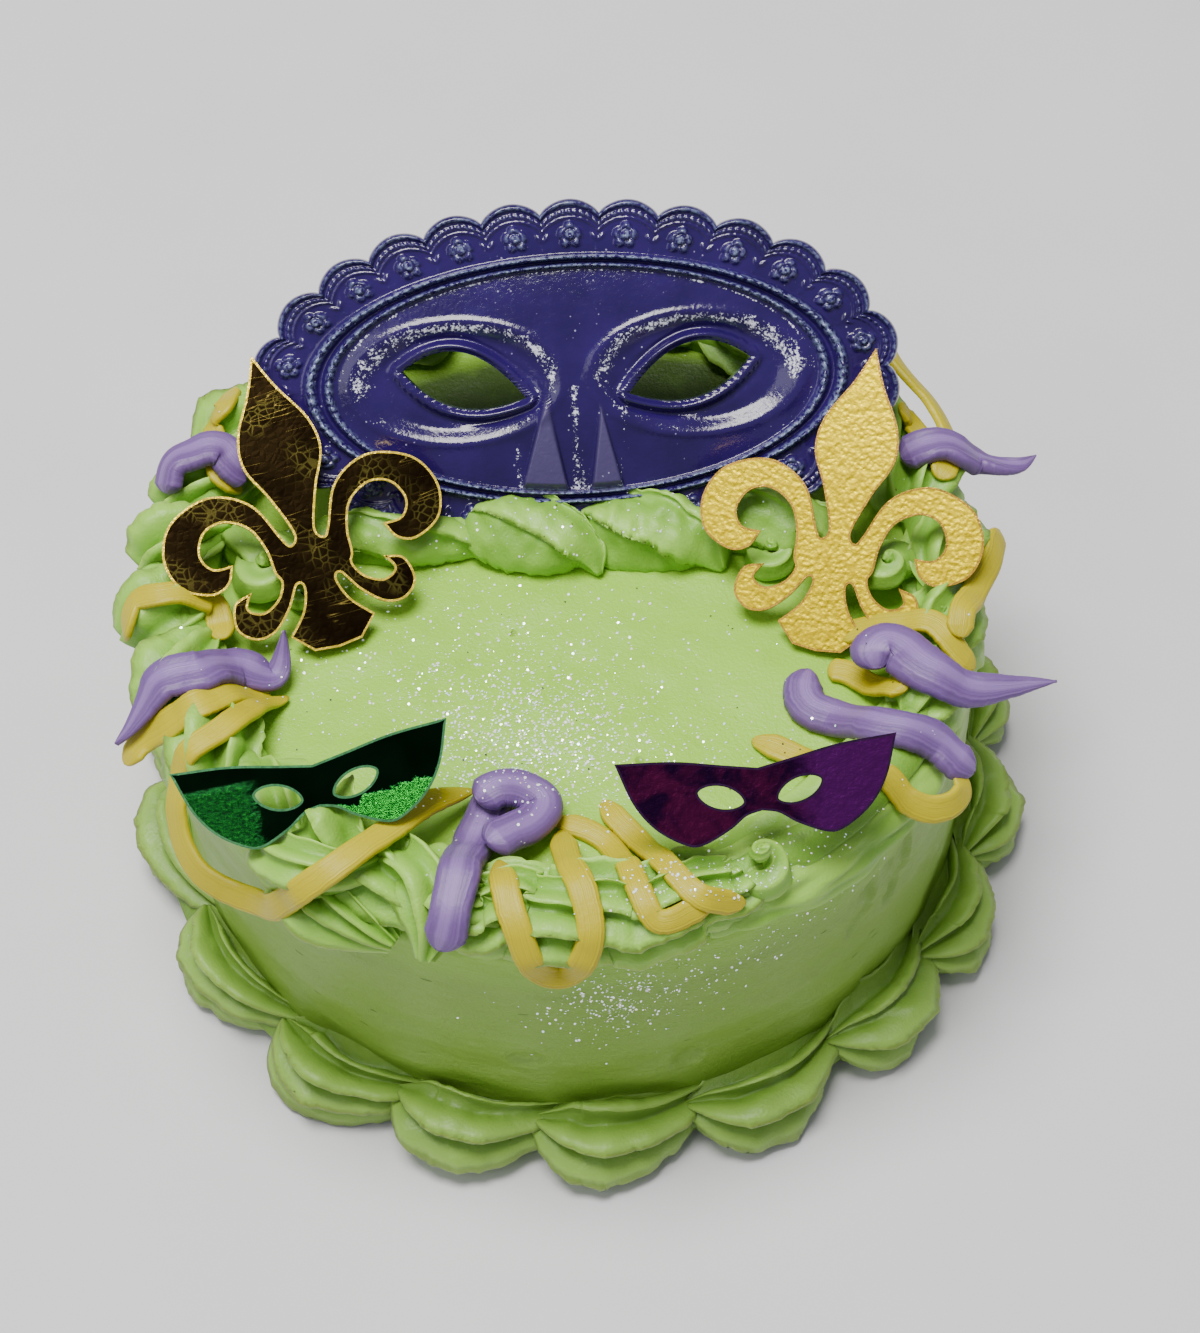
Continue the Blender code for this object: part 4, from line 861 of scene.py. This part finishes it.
def on_facet(x, y, facet):
    """How much of each point lies on a flat side of the nose, and how far down it."""
    (apex_x, apex_y), (left, right), foot = facet
    down = np.clip((apex_y - y) / (apex_y - foot), 0, 1)
    low, high = apex_x + (left - apex_x) * down, apex_x + (right - apex_x) * down
    inside = soft_step(np.minimum(x - low, high - x), -0.10, 0.22)
    return inside * (y < apex_y) * (y > foot - 0.3), down


def lace_relief(across, inward, pitch):
    """One scallop of lace: a rim, a row of beads, a flower with a ringed middle."""
    height = 0.55 * hump(inward - 0.45, 0.32)
    beads = np.abs(((across / 0.74) + 0.5) % 1.0 - 0.5) * 0.74
    height += 0.45 * hump(np.hypot(beads, inward - 1.35), 0.27)
    height += 0.22 * hump(inward - 1.95, 0.16)
    x, y = across, inward - 3.75
    reach, turn = np.hypot(x, y), np.arctan2(x, -y)
    petal = 1.55 * (0.62 + 0.38 * np.abs(np.cos(2.5 * turn)) ** 0.6)
    flower = np.clip(1 - (reach / petal) ** 4, 0, 1)
    height += 0.60 * flower - 0.40 * hump(reach - 0.62, 0.16) * (flower > 0)
    height += 0.22 * hump(reach - 0.32, 0.16)
    beside = np.abs(np.abs(across) - pitch / 2)
    height += 0.36 * hump(np.hypot(beside, inward - 3.9), 0.42)
    height += 0.26 * hump(np.hypot(beside - 0.75, inward - 3.0), 0.26)
    height += 0.26 * hump(np.hypot(beside - 0.1, inward - 2.7), 0.22)
    return height


def plaque(material):
    count = LOBES * PER_LOBE
    angles = even_ellipse(PLAQUE_HALF, count)
    phase = (np.arange(count) % PER_LOBE) / PER_LOBE
    ring = np.stack([np.cos(angles), np.sin(angles)], axis=-1)
    normal = unit(ring / np.array(PLAQUE_HALF))
    rim = ring * PLAQUE_HALF + normal * (LOBE_RISE * np.sin(np.pi * phase) ** 0.7)[:, None]
    field = ring * FIELD_HALF
    rows, height = [], []
    for scale in FACE_ROWS:
        flat = field * scale
        rows.append(flat)
        height.append(face_relief(flat[:, 0], flat[:, 1]))
    tick = np.sign(np.sin(np.arange(count) * 2 * np.pi / 6))
    for scale in np.linspace(0.96, LACE_INNER, 30):
        flat = field * scale
        rows.append(flat)
        inside = face_relief(flat[:, 0], flat[:, 1]) * np.clip((1.0 - scale) / 0.03, 0, 1)
        rings = 0.85 * hump(scale - 1.0, 0.0165) + 0.95 * hump(scale - 1.072, 0.0195)
        groove = 0.12 * hump(scale - 1.035, 0.01)
        height.append(inside + rings * (1 + 0.10 * tick) - groove)
    inner = field * LACE_INNER
    depth = np.linalg.norm(rim - inner, axis=1)
    pitch = np.linalg.norm(rim - np.roll(rim, 1, axis=0), axis=1).sum() / LOBES * 0.94
    across = (phase - 0.5) * pitch
    for t in np.linspace(0, 1, 40)[1:]:
        flat = inner + (rim - inner) * t
        rows.append(flat)
        inward = depth * (1 - t)
        narrow = 1 - 0.16 * (1 - t)
        edge = np.clip(1 - inward / 0.22, 0, 1) ** 2 * 0.45
        height.append(lace_relief(across * narrow, inward, pitch) - edge)
    rows, height = np.array(rows), np.array(height)
    wear = np.clip(height[len(FACE_ROWS):] * 1.6 - 0.35, 0, 1)
    worn = np.vstack([np.zeros((len(FACE_ROWS), count)), wear])
    low = [(rim, -0.8), (rim, -1.7), (rim * 0.992, PLAQUE_BACK), (rim * 0.55, PLAQUE_BACK),
           (rim * 0.05, PLAQUE_BACK)]
    points = [np.column_stack([flat, z]) for flat, z in zip(rows, height)]
    points += [np.column_stack([flat, np.full(count, z)]) for flat, z in low]
    rings = np.array([place(p, PLAQUE_POSE) for p in points])
    shape = Shape()
    shape.sheet(rings, hollow=np.vstack([worn, np.zeros((len(low), count))]))
    piece = shape.make("plaque_relief", material, "mask_plaque", slot="indigo_resin")
    flat = np.vstack(rows)
    painted_glint = np.zeros(shape.count)
    facet = np.zeros(shape.count)
    painted_glint[:len(flat)] = painted_glint_bands(flat[:, 0], flat[:, 1])
    facet[:len(flat)] = sum(on_facet(flat[:, 0], flat[:, 1], f)[0] for f in NOSE_FACETS)
    store(piece.data, "painted_glint", painted_glint)
    store(piece.data, "facet", facet)
    cut_eyes(piece)
    return piece


def painted_glint_bands(x, y):
    """Where painted glints gather: round the sockets, beside the nose, along the moulding."""
    reach = socket_reach(x, y)
    thick = 0.075 + 0.05 * (y > 0) + 0.05 * (np.abs(x) > 17)
    painted_glint = hump(reach - 1.04, thick) * (0.70 + 0.30 * (y > -1))
    nose = hump(x + 0.35, 0.55) * (y < -0.5) + 0.7 * hump(x - 5.3 - 0.1 * y, 0.35) * (y < -3)
    nose += 0.8 * hump(x + 7.0 + 0.05 * y, 0.4) * (y < -7) + 0.6 * hump(x - 0.2, 1.4) * (y < -9.5)
    ring = np.hypot(x / FIELD_HALF[0], y / FIELD_HALF[1])
    edge = hump(ring - 0.955, 0.012) * (0.5 + 0.5 * (y > 3))
    return np.clip(painted_glint + nose * (ring < 0.97) + edge, 0, 1) * (ring < 1.0)


def cut_eyes(piece):
    group = bpy.data.collections.new("eye_holes")
    bpy.context.scene.collection.children.link(group)
    cutters = []
    for side in (-1, 1):
        rim = eye_outline(side, 30)
        levels = [place(np.column_stack([rim, np.full(len(rim), z)]), PLAQUE_POSE)
                  for z in (PLAQUE_BACK - 2, 6.0)]
        shape = Shape()
        shape.sheet(levels)
        mesh = bpy.data.meshes.new("eye_hole")
        mesh.from_pydata((np.vstack(shape.points) * MM).tolist(), [], shape.faces)
        face_outwards(mesh)
        cutter = bpy.data.objects.new("eye_hole", mesh)
        group.objects.link(cutter)
        cutters.append(cutter)
    step = piece.modifiers.new("eyes", "BOOLEAN")
    step.operation = "DIFFERENCE"
    step.operand_type = "COLLECTION"
    step.collection = group
    step.solver = "EXACT"
    evaluated = piece.evaluated_get(bpy.context.evaluated_depsgraph_get())
    mesh = bpy.data.meshes.new_from_object(evaluated)
    piece.modifiers.remove(step)
    piece.data = mesh
    for cutter in cutters:
        bpy.data.objects.remove(cutter, do_unlink=True)
    bpy.data.collections.remove(group)


def plaque_look():
    """Glossy indigo resin: painted glints in bands, specks, worn relief, matte nose sides painted
    lighter as a painted reflection.
    """
    look = Look("indigo_resin", Coat_Weight=0.2, Coat_Roughness=0.06, Specular_IOR_Level=0.36)
    worn = look.times(look.value("hollow"), look.span(look.noise(0.45, 3), 0.42, 0.58))
    colour = look.mottle(INDIGO, 6, 0.3, 0.7, 3)
    facet = look.value("facet")
    # Nose facets painted lighter: painted reflection
    colour = look.over(colour, FACET_REFLECTION_INDIGO, facet, 0.8)
    colour = look.over(colour, WORN_INDIGO, worn, 0.85)
    crumb = look.plus(look.times(look.noise(0.34, 3, 0.75), 1.3),
                      look.times(look.noise(1.5, 2), 0.6))
    # Pale flecks where the glint bands meet crumb noise: painted glints
    glint = look.plus(crumb, look.times(look.value("painted_glint"), 0.42))
    glint = look.span(glint, 1.36, 1.44)
    colour = look.over(colour, GLINT_WHITE, glint, 0.9)
    speck = look.less(1.0, look.span(look.cells(0.75), 0.10, 0.17))
    speck = look.times(speck, look.span(look.noise(1.7, 2), 0.58, 0.62))
    colour = look.over(colour, PALE_SPECK, speck, 0.6)
    grain = look.plus(look.times(look.noise(0.45, 3), 0.7), look.noise(2.4, 2))
    grain = look.plus(grain, look.times(glint, 1.2))
    rough = look.calc("MULTIPLY_ADD", look.span(look.noise(0.9, 3), 0.3, 0.8), 0.12, 0.08)
    rough = look.plus(rough, look.times(facet, 0.3))
    return look.end(colour, rough, look.bump(grain, 0.06))


def outline_of(stretches, per_span):
    half = []
    for stretch in stretches:
        points = spline(stretch, per_span) if len(stretch) > 2 else np.array(stretch, float)
        half += [tuple(p) for p in points[:-1]]
    half.append(tuple(stretches[-1][-1]))
    mirrored = [(-x, y) for x, y in half[1:-1]][::-1]
    return np.array(half + mirrored)


def shifted(loop, distance):
    """The loop moved to its left by distance."""
    ahead = unit(np.roll(loop, -1, axis=0) - loop)
    behind = unit(loop - np.roll(loop, 1, axis=0))
    way = ahead + behind
    return loop + unit(np.column_stack([-way[:, 1], way[:, 0]])) * distance


def wound(loop, anticlockwise):
    x, y = loop.T
    area = (x * np.roll(y, -1) - np.roll(x, -1) * y).sum()
    return loop if (area > 0) == anticlockwise else loop[::-1]


def foil_piece(name, stretches, pose, looks, node, slot, slits=(), rim=0.24, per_span=7):
    """Foil cut-out: a shiny face with a bright cut edge round it, flat layout kept as UVs."""
    loops = [wound(outline_of(stretches, per_span), True)] + [wound(s, False) for s in slits]
    shape = bmesh.new()
    insides, unders = [], []
    for loop in loops:
        inner = shifted(loop, rim)
        layers = [[shape.verts.new((*p, z)) for p in ring]
                  for ring, z in ((inner, FOIL), (loop, FOIL), (loop, 0.0))]
        for upper, lower in zip(layers, layers[1:]):
            for i in range(len(loop)):
                j = (i + 1) % len(loop)
                shape.faces.new((upper[i], lower[i], lower[j], upper[j])).material_index = 1
        count = len(loop)
        insides += [shape.edges.get((layers[0][i], layers[0][(i + 1) % count]))
                    for i in range(count)]
        unders += [shape.edges.get((layers[2][i], layers[2][(i + 1) % count]))
                   for i in range(count)]
    bmesh.ops.triangle_fill(shape, use_beauty=True, edges=insides)
    bmesh.ops.triangle_fill(shape, use_beauty=True, edges=unders)
    bmesh.ops.recalc_face_normals(shape, faces=shape.faces)
    uv = shape.loops.layers.uv.new("flat")
    for face in shape.faces:
        for loop in face.loops:
            loop[uv].uv = loop.vert.co.xy
    mesh = bpy.data.meshes.new(name)
    points = np.array([v.co[:] for v in shape.verts])
    for vertex, spot in zip(shape.verts, place(points, pose)):
        vertex.co = Vector(spot) * MM
    shape.to_mesh(mesh)
    shape.free()
    for look in looks:
        mesh.materials.append(look)
    return belong(put(name, mesh), slot, node)


def slit_outline(side):
    tilt = radians(SLIT_TILT * side)
    a = np.linspace(0, 2 * np.pi, 40, endpoint=False)
    x = SLIT_HALF[0] * np.cos(a)
    y = SLIT_HALF[1] * np.sin(a) * np.abs(np.sin(a)) ** 0.3
    return np.column_stack([side * SLIT_CENTRE[0] + x * cos(tilt) - y * sin(tilt),
                            SLIT_CENTRE[1] + x * sin(tilt) + y * cos(tilt)])


def flat_place(look, x=1.0, y=1.0):
    """The foil's own flat layout in millimetres, as metres for the noise sizes."""
    uv = look.add("ShaderNodeUVMap", 0, uv_map="flat")
    return look.add("ShaderNodeMapping", 0, {"Vector": uv, "Scale": (x * MM, y * MM, MM)})


def foil_edge(name):
    look = Look(name, Metallic=0.7)
    colour = EDGES[name]
    shade = look.mottle((colour, tuple(c * 0.6 for c in colour)), 0.6, 0.3, 0.7, 2)
    return look.end(shade, 0.22, look.bump(look.noise(0.3, 2), 0.03))


def foil(name, specular=0.7):
    look = Look(name, Metallic=1.0, Specular_IOR_Level=specular)
    return look, flat_place(look)


def gold_foil_dark_reflection():
    """Gold mirror foil painted black-brown as a painted dark reflection, with fine olive tarnish
    and gold hairlines.
    """
    look, flat = foil("gold_foil_dark_reflection")
    # Black-brown base colour: painted dark reflection on the gold mirror foil
    colour = look.mottle(DARK_REFLECTION_GOLD, 6, 0.35, 0.7, 3, 0.6, flat)
    crackle = look.cells(0.9, "DISTANCE_TO_EDGE", place=flat)
    patch = look.span(look.noise(7, 1, 0.5, flat), 0.50, 0.60)
    lines = look.times(look.span(crackle, 0.10, 0.02), patch)
    colour = look.over(colour, TARNISH, lines, 0.55)
    hair = look.less(look.noise(5, 1, 0.5, flat_place(look, 0.35, 4.0), 0.6))
    hair = look.span(look.calc("ABSOLUTE", hair), 0.006, 0.0)
    hair = look.times(hair, look.span(look.noise(4, 1, 0.5, flat), 0.48, 0.56))
    colour = look.mix(hair, colour, GOLD_HAIR)
    relief = look.plus(look.noise(8, 2, 0.5, flat), look.times(crackle, 0.2))
    return look.end(colour, 0.2, look.bump(relief, 0.10))


def bright_gold_foil():
    """Bright side: yellow gold with a finely hammered grain."""
    look, flat = foil("bright_gold_foil", 0.2)
    grain = look.plus(look.cells(0.45, "SMOOTH_F1", place=flat),
                      look.times(look.noise(0.5, 3, 0.6, flat), 0.8))
    colour = look.mottle(BRIGHT_GOLD, 5, 0.3, 0.7, 3, 0.6, flat)
    colour = look.mix(look.span(grain, 0.95, 0.45), colour, GOLD_GRAIN)
    return look.end(colour, 0.36, look.bump(grain, 0.045))


def green_foil():
    """Black-green mirror with a crinkled bright band low on it and a textured left lobe."""
    look, flat = foil("green_foil")
    parts = look.add("ShaderNodeSeparateXYZ", 0, {0: flat}).node
    x, y = parts.outputs[0], parts.outputs[1]
    wobble = look.times(look.less(look.noise(3.2, 4, 0.65, flat)), 0.004)
    slope = look.less(look.plus(y, wobble), look.times(x, 0.16))
    band = look.times(look.span(slope, 0.0022, 0.0018), look.span(x, -0.0005, 0.0005))
    lobe = look.times(look.span(look.plus(x, wobble), -0.0055, -0.0068),
                      look.span(y, 0.0068, 0.0060))
    grain = look.noise(0.42, 4, 0.7, flat)
    colour = look.mottle(GREEN_MIRROR, 7, 0.3, 0.7, 2, 0.5, flat)
    colour = look.mix(look.times(lobe, look.span(grain, 0.35, 0.6)), colour, GREEN_LOBE)
    colour = look.mix(look.times(band, look.span(grain, 0.25, 0.55)), colour, GREEN_BAND)
    relief = look.times(look.calc("MAXIMUM", band, lobe), grain)
    return look.end(colour, 0.17, look.bump(relief, 0.22, look.bump(look.noise(6, 2), 0.08)))


def purple_foil():
    """Violet mirror to the right, maroon cloudy patches to the left."""
    look, flat = foil("purple_foil")
    x = look.add("ShaderNodeSeparateXYZ", 0, {0: flat}).node.outputs[0]
    cloud = look.noise(4.0, 4, 0.62, flat, 0.5)
    colour = look.mix(look.span(cloud, 0.42, 0.60), *MAROON)
    right = look.span(look.plus(x, look.times(cloud, 0.006)), 0.0055, 0.0090)
    colour = look.mix(right, colour, VIOLET)
    grain = look.plus(look.noise(1.1, 4, 0.65, flat), look.noise(5, 2, 0.5, flat))
    return look.end(colour, 0.22, look.bump(grain, 0.10))


def border_normals(path):
    flat = path * LEVEL
    radius = np.linalg.norm(flat, axis=1, keepdims=True)
    line = flat / radius * TOP_LINE_RADIUS + UP * (DRUM_HEIGHT + 0.6)
    away = unit(path - line)
    away[:, 2] = np.maximum(away[:, 2], 0.6)
    outside = np.clip((radius - TOP_LINE_RADIUS + 1.0) / 3.0, 0, 1)
    return unit(away * outside + UP * (1 - outside))


def tree_of(thing):
    return BVHTree.FromObject(thing, bpy.context.evaluated_depsgraph_get())


def land(start, way, reach, trees):
    """Nearest hit on any of the trees: place, normal and distance, or None."""
    best = None
    for tree in trees:
        spot, normal, _, far = tree.ray_cast(Vector(start) * MM, Vector(way), reach * MM)
        if spot is not None and (best is None or far < best[0]):
            best = far, spot, normal
    return best and (np.array(best[1]) / MM, np.array(best[2]), best[0] / MM)


def smooth(values, width):
    kernel = np.hanning(2 * width + 3)[1:-1]
    padded = np.pad(values, width, mode="edge")
    return np.convolve(padded, kernel / kernel.sum(), mode="valid")


def lay(path, normals, width, thick, ground):
    """How far each point moves along its normal to lie on what is under the strip."""
    along = unit(np.gradient(path, axis=0))
    side = unit(np.cross(along, normals))
    lifts = np.full(len(path), np.nan)
    reach = 6.0
    for i, (point, normal, across) in enumerate(zip(path, normals, side)):
        heights = []
        for offset in (-0.4, -0.2, 0, 0.2, 0.4):
            start = point + across * offset * width + normal * reach
            hit = land(start, -normal, 2 * reach, ground)
            if hit:
                heights.append(reach - hit[2])
        if heights:
            lifts[i] = 0.6 * np.max(heights) + 0.4 * np.mean(heights) + thick * 0.42
    known = np.flatnonzero(~np.isnan(lifts))
    lifts = np.interp(np.arange(len(path)), known, lifts[known]) if len(known) else lifts * 0
    step = np.linalg.norm(path[1] - path[0])
    lifts = np.maximum(lifts, thick * 0.3)
    lifts = np.maximum(lifts, smooth(lifts, int(2.2 / step)))
    return smooth(lifts, int(1.8 / step))


def ribbon(name, size, route, ground, material, node, slot, seed):
    (width, thick), rows = size, 110
    path = resample(spline(route, 10), rows)
    normals = border_normals(path)
    path = path + normals * lay(path, normals, width, thick, ground)[:, None]
    reach = int(1.2 / np.linalg.norm(path[1] - path[0]))
    path = np.stack([smooth(column, reach) for column in path.T], axis=-1)
    along = unit(np.gradient(path, axis=0))
    out = unit(normals - along * (normals * along).sum(axis=1, keepdims=True))
    side = np.cross(along, out)
    u = np.linspace(0, 1, rows)
    dice = np.random.default_rng(seed)
    span = np.linspace(0, 1, rows) * 30
    left = 1 + 0.03 * ripple(np.column_stack([span, u]), 7, seed)
    left += 0.010 * ripple(np.column_stack([span, u]), 0.8, seed + 1)
    right = 1 + 0.03 * ripple(np.column_stack([span, u]), 7, seed + 2)
    right += 0.022 * ripple(np.column_stack([span, u]), 0.6, seed + 3)
    tip = np.ones(rows)
    for way, point in zip((u, 1 - u), POINTS.get(name, (0, 0))):
        if point:
            tip *= np.clip(way / point, 0.03, 1) ** 0.8
        else:
            tip *= np.sqrt(np.clip(way * 12, 0.02, 1))
    bow = 0.22 * thick * dice.uniform(-1, 1)
    angle = np.linspace(0, 2 * np.pi, 28, endpoint=False)
    box = 0.34 if thick < 1.5 else 0.62
    x = np.sign(np.cos(angle)) * np.abs(np.cos(angle)) ** box
    z = np.sign(np.sin(angle)) * np.abs(np.sin(angle)) ** 0.72
    groove = 0.10 * np.cos(x * 9.0) * (z > 0)
    rings = []
    for i in range(rows):
        half = np.where(x < 0, left[i], right[i]) * width / 2 * tip[i]
        lift = thick / 2 * max(tip[i], 0.35) * (z + groove) + bow * (x ** 2) * tip[i]
        rings.append(path[i] + np.outer(half * x, side[i]) + np.outer(lift, out[i]))
    shape = Shape()
    shape.sheet(np.array(rings), hollow=np.tile(x * 0.5 + 0.5, (rows, 1)))
    return shape.make(name, material, node, slot=slot)


def flakes(name, spots, normals, sizes, material, seed):
    """Tiny six-sided flakes lying at odd tilts on the surface."""
    dice = np.random.default_rng(seed)
    count = len(spots)
    normals = unit(normals + dice.normal(scale=0.32, size=(count, 3)))
    side = unit(np.cross(normals, dice.normal(size=(count, 3))))
    fore = np.cross(normals, side)
    turn = np.radians(np.arange(6) * 60)
    corners = (spots[:, None] + normals[:, None] * 0.07
               + sizes[:, None, None] * (np.cos(turn)[None, :, None] * side[:, None]
                                         + np.sin(turn)[None, :, None] * fore[:, None]))
    shape = Shape()
    shape.add(corners, [np.arange(count * 6).reshape(count, 6)],
              np.repeat(dice.uniform(0, 1, count), 6))
    return shape.make(name, material, turn=False)


def shower(drifts, ground, dice):
    """Spots on the top where flakes of each drift land."""
    spots, normals = [], []
    for centre, spread, count in drifts:
        for x, y in dice.normal(centre, spread, (count, 2)):
            if np.hypot(x, y) > DRUM_RADIUS:
                continue
            hit = land((x, y, 60), (0, 0, -1), 30, ground)
            if hit:
                spots.append(hit[0])
                normals.append(hit[1])
    return spots, normals


def glitter(ground):
    dice = np.random.default_rng(5)
    spots, normals = shower(TOP_GLITTER, ground, dice)
    for azimuth, height, turn, rise, count in WALL_GLITTER:
        for a, z in dice.normal((azimuth, height), (turn, rise), (count, 2)):
            if not WALL_BAND[0] < z < WALL_BAND[1]:
                continue
            hit = land(polar(a, 60.0, z), -polar(a, 1.0, 0.0), 30, ground)
            if hit:
                spots.append(hit[0])
                normals.append(hit[1])
    spots, normals = np.array(spots), np.array(normals)
    sizes = FLAKE_SIZE[0] + FLAKE_SIZE[1] * dice.uniform(0, 1, len(spots)) ** 2
    flakes("glitter", spots, normals, sizes, glitter_look(), 6)
    specks = shower(SPECKS, ground, dice)
    dark = Look("dark_speck")
    dark.end(dark.mix(dark.noise(1.0), *DARK_SPECK), 0.6)
    flakes("specks", np.array(specks[0]), np.array(specks[1]),
           dice.uniform(*SPECK_SIZE, len(specks[0])), dark.material, 7)


def glitter_look():
    """Iridescent film: each flake has its own pale tint and a faint painted glow."""
    # The faint emission is a painted glow that brightens the sparkle
    look = Look("iridescent_flake", Metallic=0.35, Coat_Weight=0.6, Coat_Roughness=0.05,
                Emission_Color=(0.9, 0.95, 1.0, 1), Emission_Strength=0.35)
    ramp = look.add("ShaderNodeValToRGB", 0, {0: look.value("hollow")})
    stops = ramp.node.color_ramp
    stops.elements[0].color = (*FLAKE_TINTS[0][1], 1)
    stops.elements[1].color = (*FLAKE_TINTS[-1][1], 1)
    for spot, tint in FLAKE_TINTS[1:-1]:
        stops.elements.new(spot).color = (*tint, 1)
    return look.end(ramp, 0.15)


def floor():
    look = Look("pale_floor")
    shade = look.mottle(PALE_FLOOR, 30, 0.3, 0.7, 4)
    material = look.end(shade, 0.7, look.bump(look.noise(0.8, 3), 0.02))
    mesh = bpy.data.meshes.new("floor")
    corners = [(-1, -1, 0), (1, -1, 0), (1, 1, 0), (-1, 1, 0)]
    mesh.from_pydata([Vector(c) * FLOOR_REACH for c in corners], [], [(0, 1, 2, 3)])
    mesh.materials.append(material)
    put("floor", mesh)


def light(name, spot, size, power, tint):
    lamp = bpy.data.lights.new(name, "AREA")
    lamp.shape = "DISK"
    lamp.size = size
    lamp.energy = power
    lamp.color = tint
    thing = put(name, lamp)
    thing.location = spot
    thing.rotation_mode = "QUATERNION"
    thing.rotation_quaternion = (Vector(AIM) - Vector(spot)).to_track_quat("-Z", "Y")


def studio():
    world = bpy.data.worlds.new("studio")
    bpy.context.scene.world = world
    world.use_nodes = True
    background = world.node_tree.nodes["Background"]
    background.inputs["Color"].default_value = SKY
    background.inputs["Strength"].default_value = SKY_STRENGTH
    for name, settings in LIGHTS.items():
        light(name, *settings)


def camera():
    e = radians(CAMERA_ELEVATION)
    ahead = np.array([0, cos(e), -sin(e)])
    up = np.array([0, sin(e), cos(e)])
    roll = radians(CAMERA_ROLL)
    x = np.array([1, 0, 0]) * cos(roll) + up * sin(roll)
    y = up * cos(roll) - np.array([1, 0, 0]) * sin(roll)
    aim = unit(ahead + x * (PICTURE[0] / 2 - CENTRE_PIXEL[0]) / FOCAL_PIXELS
               + y * (CENTRE_PIXEL[1] - PICTURE[1] / 2) / FOCAL_PIXELS)
    x = unit(x - aim * (x @ aim))
    y = np.cross(-aim, x)
    data = bpy.data.cameras.new("camera")
    data.sensor_width = 36
    data.lens = FOCAL_PIXELS / PICTURE[1] * data.sensor_width
    data.clip_start = 0.01
    thing = put("camera", data)
    spot = -ahead * CAMERA_DISTANCE * MM
    matrix = Matrix.Identity(4)
    for row in range(3):
        matrix[row][0], matrix[row][1] = x[row], y[row]
        matrix[row][2], matrix[row][3] = -aim[row], spot[row]
    thing.matrix_world = matrix
    bpy.context.scene.camera = thing


def build():
    camera()
    studio()
    floor()
    green = icing("piped_green", *GREEN)
    body = drum(wall_icing())
    base_border(icing("foot_green", *FOOT_GREEN))
    top = top_border(green)
    cushion = bed(green)
    prop(icing("shaded_green", *SHADED_GREEN))
    plaque(plaque_look())
    gold_edge, green_edge, purple_edge, brown_edge = (foil_edge(name) for name in EDGES)
    slits = [slit_outline(-1), slit_outline(1)]
    foil_piece("fleur_left_foil", FLEUR_HALF, FLEUR_LEFT, (gold_foil_dark_reflection(), gold_edge),
               "fleur_left", "gold_foil")
    foil_piece("fleur_right_foil", FLEUR_HALF, FLEUR_RIGHT, (bright_gold_foil(), brown_edge),
               "fleur_right", "gold_foil")
    foil_piece("green_half_mask", HALF_MASK_HALF, MASK_GREEN, (green_foil(), green_edge),
               "half_mask_green", "green_foil", slits)
    foil_piece("purple_half_mask", HALF_MASK_HALF, MASK_PURPLE, (purple_foil(), purple_edge),
               "half_mask_purple", "purple_foil", slits)
    yellow = ribbon_icing("yellow_icing", *YELLOW_ICING, 0.0)
    purple = ribbon_icing("purple_icing", *PURPLE_ICING, 0.45)
    iced = [tree_of(body), tree_of(top)]
    for k, (name, (size, route)) in enumerate(ROUTES.items()):
        look, slot = (yellow, "yellow_icing") if "yellow" in name else (purple, "purple_icing")
        strip = ribbon(name, size, route, iced, look, "ribbon_" + name, slot, 200 + 7 * k)
        iced.append(tree_of(strip))
    glitter([tree_of(cushion), *iced])


build()
